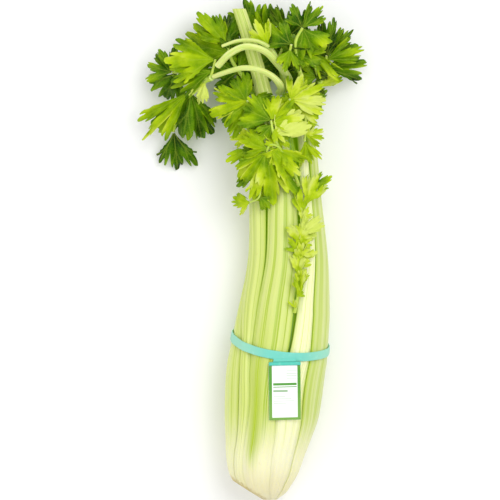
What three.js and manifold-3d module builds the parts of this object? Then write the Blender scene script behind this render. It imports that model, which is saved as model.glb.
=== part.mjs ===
// A trimmed head of green celery, lying on its side, with the band and the tag that it is sold with.
// Millimetres. +Y runs along the head from the cut butt to the leaves, +X is to the right for someone who
// looks down on it, and +Z is up. The origin is on the flat spot that the lowest stalk rests on.
import * as THREE from "three";
import { mergeVertices } from "three/addons/utils/BufferGeometryUtils.js";
import Module from "manifold-3d";

const wasm = await Module();
wasm.setup();

// Driving dimensions.
const bladeThickness = 0.7;
const bundleTop = 99; // above this height the stalks leave the bundle one by one
const joinGap = 0.4; // kept between pieces that touch
const smallestChip = 8; // cubic millimetres
const radians = Math.PI / 180;

// The outside of the bundle: height, centre x, half width, centre z, half depth.
const envelopeRows = [
  [-171, -9, 6, 38, 6],
  [-165, -13.4, 19, 38.2, 16],
  [-158, -14.6, 25.6, 38.5, 22.4],
  [-148, -14.6, 31.8, 39, 28],
  [-131, -13.2, 36.6, 39.4, 33],
  [-117, -10.6, 39.6, 39.5, 36.4],
  [-99, -7.6, 43.4, 39.2, 39.4],
  [-81, -5.8, 45.2, 39.2, 40.9],
  [-60, -4, 46.1, 40.2, 41],
  [-45, -2, 46.1, 40.8, 39.8],
  [-30, 0.1, 44.9, 41.2, 39.2],
  [-13, 2.2, 43.8, 39.8, 38.3],
  [-3, 3.4, 43.1, 37.8, 39.2],
  [45, 6.9, 38, 34, 35.7],
  [99, 4.2, 34.6, 31.5, 32.4],
  [150, 2.6, 31, 31, 28],
  [190, -1, 25, 31, 25],
  [280, -4, 22, 32, 20],
];

// The seams between the outer stalks: height, then the angle of each seam about the bundle's centre line.
// 0 degrees faces up, 90 faces +X and 180 faces the surface that the head lies on.
const seamRows = [
  [-171, -40, 12, 58, 108, 158, 204, 252, 284],
  [-117, -34, 8, 48, 98, 158, 204, 252, 308],
  [-81, -31, 3, 41, 95, 158, 203, 250, 310],
  [-36, -38, 11, 46, 98, 158, 203, 246, 303],
  [9, -41, 13, 46, 100, 158, 203, 240, 279],
  [54, -39, 17, 52, 104, 160, 202, 232, 268],
  [99, -36, 22, 57, 106, 160, 200, 226, 262],
];

// Degrees that stand open left of the broad front stalk, and between it and its right neighbour.
const gapRows = [
  [-171, 0.5, 0.5],
  [-70, 0.5, 0.6],
  [-34, 0.6, 4],
  [9, 1.5, 7],
  [54, 4, 10],
  [99, 6, 9],
];

// The butt was cut off on a slant.
const buttCut = { normal: new THREE.Vector3(0.533, 0.846, 0), offset: -152.6 };

const colours = {
  stalk: 0xc3d67a,
  inner: 0xdfe6a0,
  crown: 0xe9e3bd,
  leaf: 0x6f9a08,
  deepLeaf: 0x3f7004,
  paleLeaf: 0xa9c81c,
  band: 0x7ddccb,
  tag: 0xf6f8f4,
};

// Values of a table at one height, by a smooth curve through its rows.
function along(rows, y) {
  const last = rows.length - 1;
  if (y <= rows[0][0]) return rows[0].slice(1);
  if (y >= rows[last][0]) return rows[last].slice(1);
  const i = rows.findIndex((row) => row[0] > y) - 1;
  const [before, from, to, after] = [Math.max(i - 1, 0), i, i + 1, Math.min(i + 2, last)].map((k) => rows[k]);
  const span = to[0] - from[0];
  const t = (y - from[0]) / span;
  return from.slice(1).map((value, k) => {
    const c = k + 1;
    const slopeFrom = ((to[c] - before[c]) / (to[0] - before[0])) * span;
    const slopeTo = ((after[c] - from[c]) / (after[0] - from[0])) * span;
    const rise = to[c] - value;
    const bend = (slopeFrom - rise) * (1 - t) - (slopeTo - rise) * t;
    return value + rise * t + t * (1 - t) * bend;
  });
}

function envelope(y) {
  const [x, halfWidth, z, halfDepth] = along(envelopeRows, y);
  return { x, halfWidth, z, halfDepth };
}

// The point at an angle about the bundle's centre line, some millimetres inside its envelope.
function bundlePoint(y, degrees, depth) {
  const { x, halfWidth, z, halfDepth } = envelope(y);
  const angle = degrees * radians;
  return new THREE.Vector3(
    x + (halfWidth - depth) * Math.sin(angle),
    y,
    z + (halfDepth - depth) * Math.cos(angle),
  );
}

function solidFrom(positions, index) {
  const geometry = new THREE.BufferGeometry();
  const coordinates = positions.flatMap((p) => [p.x, p.y, p.z]);
  geometry.setAttribute("position", new THREE.Float32BufferAttribute(coordinates, 3));
  geometry.setIndex(index);
  return solidOf(geometry);
}

function solidOf(geometry) {
  const bare = geometry.clone();
  bare.deleteAttribute("normal");
  bare.deleteAttribute("uv");
  const merged = mergeVertices(bare, 1e-4);
  return new wasm.Manifold(
    new wasm.Mesh({
      numProp: 3,
      vertProperties: new Float32Array(merged.attributes.position.array),
      triVerts: new Uint32Array(merged.index.array),
    }),
  );
}

// Slivers that a slanting cut or a folded edge leaves loose are dropped.
function mainBody(solid) {
  const bodies = solid.decompose().filter((body) => Math.abs(body.volume()) > smallestChip);
  const volumes = bodies.map((body) => body.volume().toFixed(0));
  if (bodies.length !== 1) throw new Error(`${bodies.length} bodies: ${volumes}`);
  return bodies[0];
}

// The flat end of a loft: its outline, seen in its own plane, cut into triangles.
function capTriangles(ring) {
  const normal = new THREE.Vector3();
  const centre = ring.reduce((sum, p) => sum.add(p), new THREE.Vector3()).divideScalar(ring.length);
  ring.forEach((p, i) => {
    const next = ring[(i + 1) % ring.length];
    normal.add(p.clone().sub(centre).cross(next.clone().sub(centre)));
  });
  normal.normalize();
  const across = ring[0].clone().sub(centre).normalize();
  const up = normal.clone().cross(across);
  const flat = ring.map((p) => {
    const q = p.clone().sub(centre);
    return new THREE.Vector2(q.dot(across), q.dot(up));
  });
  return THREE.ShapeUtils.triangulateShape(flat, []);
}

// A closed body through rings of points. Each ring runs clockwise for someone who looks along the loft.
function loft(rings) {
  const count = rings[0].length;
  const index = [];
  for (let i = 0; i < rings.length - 1; i += 1) {
    for (let k = 0; k < count; k += 1) {
      const a = i * count + k;
      const b = i * count + ((k + 1) % count);
      index.push(a, a + count, b + count, a, b + count, b);
    }
  }
  const end = (rings.length - 1) * count;
  capTriangles(rings[0]).forEach(([a, b, c]) => index.push(a, b, c));
  capTriangles(rings[rings.length - 1]).forEach(([a, b, c]) => index.push(end + a, end + c, end + b));
  const solid = solidFrom(rings.flat(), index);
  if (solid.volume() > 0) return solid;
  index.reverse();
  return solidFrom(rings.flat(), index);
}

// Stalks: crescents that are convex and ribbed outside and hollowed inside. Each one starts at a seam, lies
// some millimetres inside the envelope (drop), and leans and tapers above the bundle until its top.
const outerStalks = [
  { name: "stalk_front_broad", seam: 0, drop: 0.6, top: 271, leanX: -32, leanZ: 3, taper: 0.74 },
  { name: "stalk_front_right", seam: 1, drop: 2.4, top: 176, leanX: 0, leanZ: -3, taper: 0.6 },
  { name: "stalk_right", seam: 2, drop: 0.9, top: 188, leanX: -1, leanZ: 7, taper: 0.5 },
  { name: "stalk_low_right", seam: 3, drop: 1.1, top: 172, leanX: 2, leanZ: -1, taper: 0.55 },
  { name: "stalk_low", seam: 4, drop: 0, top: 162, leanX: 0, leanZ: 3, taper: 0.6, restsFlat: true },
  { name: "stalk_low_left", seam: 5, drop: 1.1, top: 168, leanX: -2, leanZ: 1, taper: 0.6 },
  { name: "stalk_left_short", seam: 6, drop: 1, top: 150, leanX: 1, leanZ: 0, taper: 0.6 },
  { name: "stalk_left", seam: 7, drop: 1.6, top: 166, leanX: 1, leanZ: 3, taper: 0.62 },
];
const outerHeights = [-171, -165, -156, -142, -116, -80, -54, -40, -26, -13, -3, 40, 99];
const outerPoints = 9; // across a stalk's outer face, every second one of them in a groove
const outerFace = { groove: 0.7, bulge: 4, edgePower: 2.4 }; // bulge is how far its edges turn in
const restingFace = { groove: 0, bulge: 3.4, edgePower: 4 };
const flushFoot = { share: 0.5, from: -140, to: -30 }; // at the foot the stalks close up to a smooth butt
const seamGap = 0.5; // degrees on each side of a seam
const stalkThickest = 9;
const thinnestEdge = 1.6;
const thinning = { from: -20, by: 2, aboveBundle: 0.35 }; // upwards along a stalk
const hollow = { share: 0.36, width: 0.98 }; // what a stalk's thickness loses towards its edges
const fullSize = 24; // half depth of the bundle below which ribs and edges shrink with it
const leanPower = 1.7; // above 1, so that a stalk bends away slowly at first
const freeStep = 34; // between the rings above the bundle

const innerRings = [
  {
    name: "stalk_inner",
    edges: [-62, 0, 55, 115, 180, 240, 298],
    depth: 12,
    thickness: 6.5,
    points: 5,
    tops: [186, 192, 206, 196, 176, 184],
    leanX: [-6, -5, 0, 2, -4, -8],
    leanZ: [2, 8, 7, -2, -3, 0],
  },
  {
    name: "stalk_core",
    edges: [-25, 65, 155, 245, 335],
    depth: 20.5,
    thickness: 5,
    points: 5,
    tops: [168, 196, 178, 150],
    leanX: [-3, 2, 0, 0],
    leanZ: [2, 1, 0, 0],
  },
  {
    name: "stalk_heart",
    edges: [20, 200, 380],
    depth: 27,
    thickness: 4.2,
    points: 5,
    tops: [142, 128],
    leanX: [0, 0],
    leanZ: [0, 0],
  },
];
const innerHeights = [-124, -110, -80, -30, 40, 99];
const innerFace = { groove: 0.4, bulge: 1.8, edgePower: 3, taper: 0.6, gap: 1.5 };

function stalkThickness(y, most) {
  const { halfWidth, halfDepth } = envelope(y);
  const wanted = most - thinning.by * THREE.MathUtils.smoothstep(y, thinning.from, bundleTop);
  return Math.min(wanted, 0.5 * Math.min(halfWidth, halfDepth));
}

function heightsUpTo(heights, top) {
  const rise = top - bundleTop;
  const steps = Math.max(2, Math.round(rise / freeStep));
  const upper = Array.from({ length: steps }, (_, i) => bundleTop + (rise * (i + 1)) / steps);
  return [...heights, ...upper];
}

// One ring of a stalk: across the outer face from one edge to the other, then back along the hollow.
function stalkRing(stalk, y) {
  const free = THREE.MathUtils.clamp((y - bundleTop) / (stalk.top - bundleTop), 0, 1);
  const [from, to] = stalk.edgesAt(y);
  const middle = (from + to) / 2;
  const half = ((to - from) / 2) * (1 - (1 - stalk.taper) * free);
  const thick = stalkThickness(y, stalk.thickness) * (1 - thinning.aboveBundle * free);
  const small = Math.min(1, envelope(y).halfDepth / fullSize);
  const drop = stalk.drop * small;
  const shift = new THREE.Vector3(stalk.leanX, 0, stalk.leanZ).multiplyScalar(free ** leanPower);
  const point = (s, depth) => {
    const p = bundlePoint(y, middle + half * s, depth).add(shift);
    p.z = Math.max(p.z, 0);
    return p;
  };
  const grown = THREE.MathUtils.smoothstep(y, flushFoot.from, flushFoot.to);
  const bulge = small * stalk.bulge * THREE.MathUtils.lerp(flushFoot.share, 1, grown);
  const edge = (s) => bulge * Math.abs(s) ** stalk.edgePower;
  const ring = [];
  for (let i = 0; i < stalk.points; i += 1) {
    const s = (2 * i) / (stalk.points - 1) - 1;
    const groove = i % 2 === 1 ? small * stalk.groove : 0;
    ring.push(point(s, drop + groove + edge(s)));
  }
  const backPoints = Math.ceil(stalk.points / 2);
  for (let i = 0; i < backPoints; i += 1) {
    const s = (1 - (2 * i) / (backPoints - 1)) * hollow.width;
    const deep = thick * (1 - hollow.share * s * s);
    ring.push(point(s, drop + Math.max(deep, edge(s) + small * thinnestEdge)));
  }
  return ring;
}

function outerShape(spec) {
  const seams = seamRows[0].length - 1;
  return {
    ...spec,
    ...(spec.restsFlat ? restingFace : outerFace),
    thickness: stalkThickest,
    points: outerPoints,
    edgesAt: (y) => {
      const angles = along(seamRows, y);
      const next = spec.seam + 1;
      const to = next < seams ? angles[next] : angles[0] + 360;
      const open = spec.seam < 2 ? along(gapRows, y)[spec.seam] : seamGap;
      return [angles[spec.seam] + open, to - seamGap];
    },
  };
}

function outerStalk(spec) {
  const rings = heightsUpTo(outerHeights, spec.top).map((y) => stalkRing(outerShape(spec), y));
  return mainBody(loft(rings).trimByPlane(buttCut.normal.toArray(), buttCut.offset));
}

function innerStalk(ring, i) {
  const stalk = {
    ...innerFace,
    top: ring.tops[i],
    leanX: ring.leanX[i],
    leanZ: ring.leanZ[i],
    drop: ring.depth,
    thickness: ring.thickness,
    points: ring.points,
    edgesAt: () => [ring.edges[i] + innerFace.gap, ring.edges[i + 1] - innerFace.gap],
  };
  return loft(heightsUpTo(innerHeights, stalk.top).map((y) => stalkRing(stalk, y)));
}

// The crown: the short solid stem that fills the butt and that every stalk grows from, with a domed top.
const crownRows = [
  [-171, 0],
  [-165, 0],
  [-156, 0],
  [-142, 0],
  [-134, 2],
  [-127, 9],
]; // height, and how far the dome has drawn in there
const crownSides = 24;
const crownGap = 0.6; // between the crown and the stalk around it that lies deepest

function crown() {
  const deepestDrop = Math.max(...outerStalks.map((stalk) => stalk.drop));
  const rings = crownRows.map(([y, dome]) => {
    const small = Math.min(1, envelope(y).halfDepth / fullSize);
    const depth = stalkThickness(y, stalkThickest) + deepestDrop * small + crownGap + dome;
    return Array.from({ length: crownSides }, (_, k) => bundlePoint(y, (360 * k) / crownSides, depth));
  });
  return loft(rings).trimByPlane(buttCut.normal.toArray(), buttCut.offset);
}

// The band is drawn tight around the stalks, lower on the front right, and carries a tab that clips the tag.
const band = { width: 7.6, thickness: 1.2, middle: -28.7, dip: 13.3, dipAt: 27, sides: 40, offStalks: 0.7 };
const tag = {
  width: 29,
  height: 51.5,
  thickness: 0.8,
  x: 3.9,
  top: -46.9,
  slope: 2.8,
  turn: 11,
  spin: -1.2,
  lift: -0.9,
};
const tab = { height: 3.2, above: 0.8 };
const neck = { width: 20, height: 4.5, thickness: 3.2 };
const pulls = 120; // directions in which the band is drawn against the ridges of the stalks

// The point of a tight loop, some millimetres off the stalks, on the ray at an angle from the centre line.
function loopPoint(y, degrees, off) {
  const { x, z } = envelope(y);
  const outside = bundlePoint(y, degrees, 0);
  const ray = new THREE.Vector2(outside.x - x, outside.z - z).normalize();
  const faces = outerStalks.flatMap((spec) => stalkRing(outerShape(spec), y).slice(0, outerPoints));
  const ridges = faces.map((p) => new THREE.Vector2(p.x - x, p.z - z));
  let reach = Infinity;
  for (let k = 0; k < pulls; k += 1) {
    const pull = new THREE.Vector2(1, 0).rotateAround(new THREE.Vector2(), (2 * Math.PI * k) / pulls);
    const furthest = Math.max(...ridges.map((p) => p.dot(pull)));
    if (pull.dot(ray) > 0) reach = Math.min(reach, (furthest + off) / pull.dot(ray));
  }
  return new THREE.Vector3(x + reach * ray.x, y, z + reach * ray.y);
}

// A tube around the stalks through rings at some places across the band, -1 and 1 at its edges.
function bandTube(off, places) {
  const ring = (place) =>
    Array.from({ length: band.sides }, (_, k) => {
      const degrees = (360 * k) / band.sides;
      const middle = band.middle - band.dip * Math.cos((degrees - band.dipAt) * radians);
      const y = middle + (place * band.width) / 2;
      const p = loopPoint(y, degrees, off);
      p.z = Math.max(p.z, band.offStalks + band.thickness - off);
      return p;
    });
  return loft(places.map(ring));
}

// Places a plate by the middle of its top edge, sloping with the stalks that it lies on.
function tagPlacement(drop, rise) {
  const { z, halfDepth } = envelope(tag.top);
  return new THREE.Matrix4()
    .makeTranslation(tag.x, tag.top, z + halfDepth + tag.lift)
    .multiply(new THREE.Matrix4().makeRotationY(tag.turn * radians))
    .multiply(new THREE.Matrix4().makeRotationX(tag.slope * radians))
    .multiply(new THREE.Matrix4().makeRotationZ(-tag.spin * radians))
    .multiply(new THREE.Matrix4().makeTranslation(0, -drop, rise));
}

function plate(width, height, thickness, drop, rise) {
  return solidOf(new THREE.BoxGeometry(width, height, thickness).applyMatrix4(tagPlacement(drop, rise)));
}

function bandWithTab() {
  const loop = bandTube(band.offStalks + band.thickness, [-1, 0, 1]).subtract(
    bandTube(band.offStalks, [-1.3, -1, 0, 1, 1.3]),
  );
  const rise = tag.thickness / 2 + joinGap + band.thickness / 2;
  const clip = plate(tag.width, tab.height, band.thickness, tab.height / 2 - tab.above, rise);
  const bridge = plate(neck.width, neck.height, neck.thickness, -joinGap - neck.height / 2, 0);
  return loop.add(clip).add(bridge);
}

// Blades: a celery leaflet is a fan of three toothed lobes. Across the fan, f runs from -1 to 1.
const longLeaf = 33; // millimetres; a longer blade has eight teeth, and a shorter one has six
const leafShape = {
  lobeCut: 0.34,
  toothDepth: 0.055,
  cup: -0.22,
  pleat: 0.024,
  sideShortening: 0.2,
  middleRow: 0.52,
};
const leafClearance = 1.6; // a blade that lies on the bundle stays this far off its envelope
const laidBelow = 150; // the height up to which blades lie on the bundle
const deepInside = 0.2; // the share of the envelope's radius within which a point stays where it is

function edgeReach(leaf, f) {
  const lobes = 1 - leafShape.lobeCut * ((1 - Math.cos((2 * Math.PI * f) / leaf.lobeStep)) / 2) ** 2;
  const teeth = 1 + leafShape.toothDepth * Math.cos((2 * Math.PI * f) / leaf.toothStep);
  return (1 - leafShape.sideShortening * f * f) * lobes * teeth;
}

function bladePoint(leaf, f, share) {
  const reach = leaf.length * share * edgeReach(leaf, f);
  const angle = f * leaf.spread * radians;
  const x = reach * Math.sin(angle);
  const y = reach * Math.cos(angle);
  const pleat = leafShape.pleat * reach * Math.cos((2 * Math.PI * f) / leaf.toothStep);
  const z = pleat + (leafShape.cup * x * x) / leaf.length;
  const bend = leaf.curl * radians;
  const turned = (bend * y) / leaf.length;
  const radius = leaf.length / bend;
  return new THREE.Vector3(
    x,
    (radius + z) * Math.sin(turned),
    (radius + z) * Math.cos(turned) - radius,
  );
}

// A point inside the bundle or under the surface moves out, so that blades lie on stalks and on the surface.
function laidClear(p) {
  const { x, halfWidth, z, halfDepth } = envelope(p.y);
  if (p.y < laidBelow) {
    const across = (p.x - x) / (halfWidth + leafClearance);
    const up = (p.z - z) / (halfDepth + leafClearance);
    const out = Math.hypot(across, up);
    if (out < 1 && out > deepInside) {
      p.x = x + (p.x - x) / out;
      p.z = z + (p.z - z) / out;
    }
  }
  p.z = Math.max(p.z, bladeThickness);
  return p;
}

// A blade as a closed thin body, with the same triangles on both faces. Its spots are the base, a middle
// row with one spot to every second tooth, and the toothed edge.
function blade(leaf) {
  const place = new THREE.Matrix4()
    .makeTranslation(leaf.base.x, leaf.base.y, leaf.base.z)
    .multiply(new THREE.Matrix4().makeRotationZ(-leaf.heading * radians))
    .multiply(new THREE.Matrix4().makeRotationX(leaf.pitch * radians))
    .multiply(new THREE.Matrix4().makeRotationY(leaf.roll * radians));
  const teeth = leaf.length > longLeaf ? 8 : 6;
  const shape = { ...leaf, toothStep: 2 / teeth, lobeStep: (teeth === 8 ? 3 : 2) * (2 / teeth) };
  const edgeCount = 2 * teeth + 1;
  const middles = teeth / 2;
  const across = (i) => (2 * i) / (edgeCount - 1) - 1;
  const spots = [[0, 0]];
  for (let j = 0; j <= middles; j += 1) spots.push([across(4 * j), leafShape.middleRow]);
  for (let i = 0; i < edgeCount; i += 1) spots.push([across(i), 1]);
  const mid = (j) => 1 + j;
  const edge = (i) => middles + 2 + i;

  const faces = [];
  for (let j = 0; j < middles; j += 1) {
    const e = 4 * j;
    faces.push([0, mid(j + 1), mid(j)]);
    faces.push([mid(j), edge(e + 1), edge(e)], [mid(j), edge(e + 2), edge(e + 1)]);
    faces.push([mid(j), mid(j + 1), edge(e + 2)]);
    faces.push([mid(j + 1), edge(e + 3), edge(e + 2)], [mid(j + 1), edge(e + 4), edge(e + 3)]);
  }
  const rim = [0, mid(middles)];
  for (let i = edgeCount - 1; i >= 0; i -= 1) rim.push(edge(i));
  rim.push(mid(0));

  const points = spots.map(([f, share]) => laidClear(bladePoint(shape, f, share).applyMatrix4(place)));
  const normals = points.map(() => new THREE.Vector3());
  faces.forEach(([a, b, c]) => {
    const normal = points[b].clone().sub(points[a]).cross(points[c].clone().sub(points[a]));
    [a, b, c].forEach((k) => normals[k].add(normal));
  });
  const half = bladeThickness / 2;
  const offset = (k, side) => points[k].clone().addScaledVector(normals[k].normalize(), side * half);
  const positions = [...points.map((_, k) => offset(k, 1)), ...points.map((_, k) => offset(k, -1))];
  const under = points.length;
  const index = faces.flatMap(([a, b, c]) => [a, b, c, under + a, under + c, under + b]);
  rim.forEach((a, i) => {
    const b = rim[(i + 1) % rim.length];
    index.push(a, under + a, under + b, a, under + b, b);
  });
  return solidFrom(positions, index);
}

// A leaf stem: a tapering rod along a smooth curve through its points.
function stemCurve(stem) {
  return new THREE.CatmullRomCurve3(stem.path.map((p) => new THREE.Vector3(...p)));
}

function stemSolid(stem) {
  const { sides } = stem;
  const curve = stemCurve(stem);
  const steps = Math.max(2, Math.round(curve.getLength() / stem.step));
  const frames = curve.computeFrenetFrames(steps);
  const rings = [];
  for (let i = 0; i <= steps; i += 1) {
    const share = i / steps;
    const radius = THREE.MathUtils.lerp(stem.from, stem.to, share);
    const centre = curve.getPointAt(share);
    rings.push(
      Array.from({ length: sides }, (_, k) => {
        const turn = (2 * Math.PI * k) / sides;
        return centre
          .clone()
          .addScaledVector(frames.normals[i], radius * Math.cos(turn))
          .addScaledVector(frames.binormals[i], radius * Math.sin(turn) * (stem.flat ?? 1));
      }),
    );
  }
  return loft(rings);
}

// The two bare leaf stems that arch over the front of the head to the left are thick and a little flat.
const archedStem = { from: 3.6, to: 3.4, flat: 0.75, sides: 8, step: 11 };
const thinStem = { sides: 4, step: 14 };

// Leaf sprays. A stem has a path and its radius at both ends. A leaflet grows from a stem, at a share of
// the stem's length: stem, share, heading, pitch, roll, length, half spread, curl. Heading 0 is +Y and 90
// is +X, pitch lifts the tip, roll turns the blade about its own length, and curl bends the tip under.
const sprays = [
  {
    name: "leaves_left",
    colour: colours.leaf,
    stems: [
      { path: [[-61.6, 208.6, 58.4], [-70, 204, 50], [-81, 197, 42]], from: 2.1, to: 1.5 },
      { path: [[-80.5, 197.3, 42.3], [-89, 183, 28], [-96, 161, 18]], from: 1.3, to: 1 },
      { path: [[-64, 207.5, 56], [-80, 213, 46], [-97, 214, 36]], from: 1.5, to: 1 },
      { path: [[-62.4, 208.5, 57.4], [-60, 217, 60], [-58, 225, 60]], from: 1.4, to: 1 },
    ],
    leaflets: [
      [0, 1, 227, -2, 14, 56, 20, 26],
      [0, 1, 192, -22, 0, 50, 40, 26],
      [0, 1, 162, -8, -12, 46, 30, 30],
      [1, 1, 174, -10, 0, 38, 36, 24],
      [2, 1, 4, 2, 8, 25, 46, 22],
      [2, 1, -74, -18, 0, 27, 38, 24],
      [2, 0.9, 204, -34, 6, 35, 46, 22],
      [3, 1, -90, -2, 10, 45, 36, 26],
      [3, 0.4, -106, -8, -6, 44, 30, 30],
      [0, 0.3, 206, 6, 10, 20, 36, 36],
    ],
  },
  {
    name: "leaves_top_left",
    colour: colours.deepLeaf,
    stems: [
      { path: [[-19, 185.6, 33.5], [-30, 205, 38], [-43, 224, 41], [-48, 240, 41]], from: 2.6, to: 1.2 },
    ],
    leaflets: [
      [0, 0.86, -76, -12, 0, 47, 44, 22],
      [0, 1, -44, 8, -4, 32, 42, 24],
      [0, 1, 2, -8, -10, 28, 44, 20],
      [0, 0.55, -96, -2, 0, 32, 40, 24],
      [0, 0.22, -98, -16, 0, 27, 42, 20],
      [0, 0.6, 52, -8, 0, 26, 44, 20],
      [0, 0.4, 14, -10, 0, 34, 40, 14],
    ],
  },
  {
    name: "leaves_top",
    colour: colours.deepLeaf,
    stems: [
      { path: [[6.6, 197.4, 20], [-2, 222, 24], [-12, 238, 26], [-22, 250, 26]], from: 2.4, to: 1.2 },
      { path: [[-2.6, 223, 24.2], [2, 236, 28], [6, 244, 32]], from: 1.5, to: 1.1 },
    ],
    leaflets: [
      [0, 1, -18, 8, 0, 30, 50, 20],
      [0, 0.86, -68, -8, 0, 28, 42, 20],
      [0, 0.7, 4, 14, 0, 37, 40, 24],
      [1, 1, -20, 24, 20, 34, 16, 40],
      [1, 1, 14, 6, 0, 30, 46, 30],
      [1, 1, 78, -8, 0, 28, 44, 24],
      [0, 0.25, -34, -6, 0, 39, 42, 14],
      [0, 0.25, 28, 4, 0, 39, 42, 14],
    ],
  },
  {
    name: "leaves_top_right",
    colour: colours.leaf,
    stems: [
      {
        path: [[20.5, 189.4, 44], [20, 204, 50], [16, 223, 61], [14, 241, 72], [20, 253, 73]],
        from: 2.4,
        to: 1.2,
      },
      { path: [[16, 222, 60.4], [9, 230, 69], [10, 238, 75]], from: 1.5, to: 1.1 },
    ],
    leaflets: [
      [0, 1, 152, -4, -6, 31, 48, 44],
      [0, 1, -22, -16, 0, 24, 48, 20],
      [0, 1, 44, 2, 10, 25, 34, 24],
      [1, 1, -54, 0, -6, 29, 46, 44],
      [1, 0.8, -168, 8, 0, 20, 44, 10],
      [0, 0.6, 72, -14, 0, 27, 44, 24],
    ],
  },
  {
    name: "leaves_right",
    colour: colours.deepLeaf,
    stems: [
      { path: [[22.4, 173.4, 14.5], [31, 192, 24], [39, 212, 32], [42, 229, 36]], from: 2.4, to: 1.2 },
      { path: [[35.8, 204, 28.6], [32, 218, 38], [27, 236, 44]], from: 1.4, to: 1 },
    ],
    leaflets: [
      [0, 1, 12, 10, 16, 33, 34, 20],
      [0, 1, 46, -4, 0, 31, 28, 18],
      [0, 0.94, 70, 10, 6, 33, 28, 20],
      [0, 0.8, 78, -10, 0, 41, 30, 20],
      [1, 0.2, -84, 6, 0, 20, 44, 20],
      [1, 1, 142, -6, 30, 36, 20, 24],
      [0, 0.55, -150, 16, 0, 30, 36, 24],
      [0, 0.5, 40, 4, 10, 28, 36, 20],
      [1, 0.9, 18, -14, 0, 26, 42, 20],
      [0, 0.2, 16, -14, 0, 24, 40, 14],
    ],
  },
  {
    name: "leaves_front_left",
    colour: colours.leaf,
    stems: [
      { path: [[-24.4, 168, 44], [-30, 178, 54], [-29, 188, 62]], from: 2, to: 1.2 },
      { path: [[-26.4, 171, 48], [-29, 164, 58], [-25, 152, 63], [-20, 131, 63]], from: 1.4, to: 1 },
      { path: [[-20, 133, 63], [-17, 114, 64], [-19, 101, 63], [-27, 97, 56]], from: 1, to: 0.8 },
    ],
    leaflets: [
      [0, 1, -112, -12, 4, 38, 40, 24],
      [0, 0.96, 200, 4, 0, 35, 38, 34],
      [0, 1, 100, 14, -6, 29, 38, 50],
      [0, 0.9, -30, -4, 6, 29, 44, 30],
      [0, 1, 146, 10, 0, 30, 38, 34],
      [1, 0.5, -84, -20, 8, 20, 46, 20],
      [1, 0.64, 206, 0, 4, 32, 48, 26],
      [1, 1, 188, -6, 0, 29, 44, 20],
      [2, 1, -102, -24, 0, 18, 50, 20],
    ],
  },
  {
    name: "leaves_front",
    colour: colours.paleLeaf,
    stems: [
      {
        path: [[16.6, 112, 57.3], [13, 122, 65], [5, 137, 73], [-2, 147, 78], [-9, 148, 79], [-12, 142, 78]],
        from: 1.3,
        to: 1.2,
      },
      { path: [[-1.6, 146.4, 76.4], [-6, 158, 78], [-8, 170, 79]], from: 1.4, to: 1 },
    ],
    leaflets: [
      [0, 1, 172, -10, 0, 48, 34, 18],
      [0, 0.92, 130, 0, -10, 37, 30, 30],
      [0, 0.98, 218, -2, 8, 34, 32, 28],
      [0, 0.96, -72, -12, 0, 28, 44, 26],
      [1, 0.4, 44, -2, -4, 33, 42, 30],
      [1, 1, 16, -10, 0, 27, 44, 34],
      [1, 1, -66, 2, 0, 30, 42, 40],
      [1, 0.9, 78, -8, 0, 31, 44, 30],
    ],
  },
  {
    name: "leaves_front_right",
    colour: colours.paleLeaf,
    stems: [
      { path: [[18, 178, 46.5], [16, 184, 56], [8.5, 189, 65]], from: 2, to: 1.3 },
      { path: [[17, 180.4, 50.6], [22, 176, 60], [23, 164, 64], [22, 152, 64]], from: 1.3, to: 1 },
    ],
    leaflets: [
      [0, 1, 92, 6, 8, 33, 34, 30],
      [0, 1, 28, -8, 0, 25, 40, 24],
      [0, 0.9, 152, -6, 0, 30, 42, 30],
      [1, 1, 164, -6, 6, 23, 36, 20],
      [1, 0.85, 100, -18, 0, 18, 38, 14],
      [0, 0.7, 60, -12, 0, 25, 40, 20],
    ],
  },
  {
    name: "leaves_heart",
    colour: colours.paleLeaf,
    stems: [
      {
        path: [[12.9, -2, 71.7], [15.2, 8, 76.2], [17.5, 34, 71.5], [18.5, 62, 67.8], [19, 86, 63.8]],
        from: 1.2,
        to: 0.9,
      },
      { path: [[19, 85, 64], [25, 98, 60.5], [30, 109, 55]], from: 0.9, to: 0.8 },
    ],
    leaflets: [
      [0, 0.14, 10, 14, 30, 27, 18, 20],
      [0, 0.3, 30, 20, 20, 14, 44, 30],
      [0, 0.42, -8, 20, -30, 16, 42, 30],
      [0, 0.52, 34, 16, 20, 18, 42, 40],
      [0, 0.62, -40, 14, 10, 15, 44, 30],
      [0, 0.7, -6, 14, 20, 20, 40, 40],
      [0, 0.8, 44, 14, 0, 21, 38, 30],
      [0, 1, -4, 10, -10, 20, 32, 20],
      [1, 0.4, 22, 0, -4, 28, 34, 20],
      [1, 1, 56, -14, 10, 18, 42, 20],
    ],
  },
  {
    name: "leaf_arched_cut",
    colour: colours.stalk,
    stems: [
      {
        path: [
          [8, 207.5, 43],
          [5, 213, 54],
          [-3, 222, 66],
          [-12, 231, 76],
          [-21, 235, 80.5],
          [-32, 236, 81],
          [-45, 230, 77],
          [-56, 219, 68],
        ],
        ...archedStem,
      },
      {
        path: [[-2, 221, 64], [-8, 234, 69], [-22, 241.5, 73], [-38, 241.5, 71], [-52, 237, 66]],
        from: 2.4,
        to: 1.4,
      },
    ],
    leaflets: [[1, 0.3, -26, 4, 0, 24, 36, 20]],
  },
  {
    name: "stem_arched_low",
    colour: colours.stalk,
    stems: [
      {
        path: [
          [-0.6, 195.5, 49],
          [1, 199.5, 58],
          [-2, 205, 68],
          [-9, 211, 76],
          [-21, 216, 80],
          [-33, 217, 79],
          [-47, 214, 71],
          [-60, 209.5, 60.6],
        ],
        ...archedStem,
        to: 2.3,
      },
    ],
    leaflets: [],
  },
  {
    name: "leaves_low_left",
    colour: colours.deepLeaf,
    stems: [{ path: [[-13, 169.6, 9], [-22, 196, 9], [-32, 220, 8]], from: 2.1, to: 1.1 }],
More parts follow.
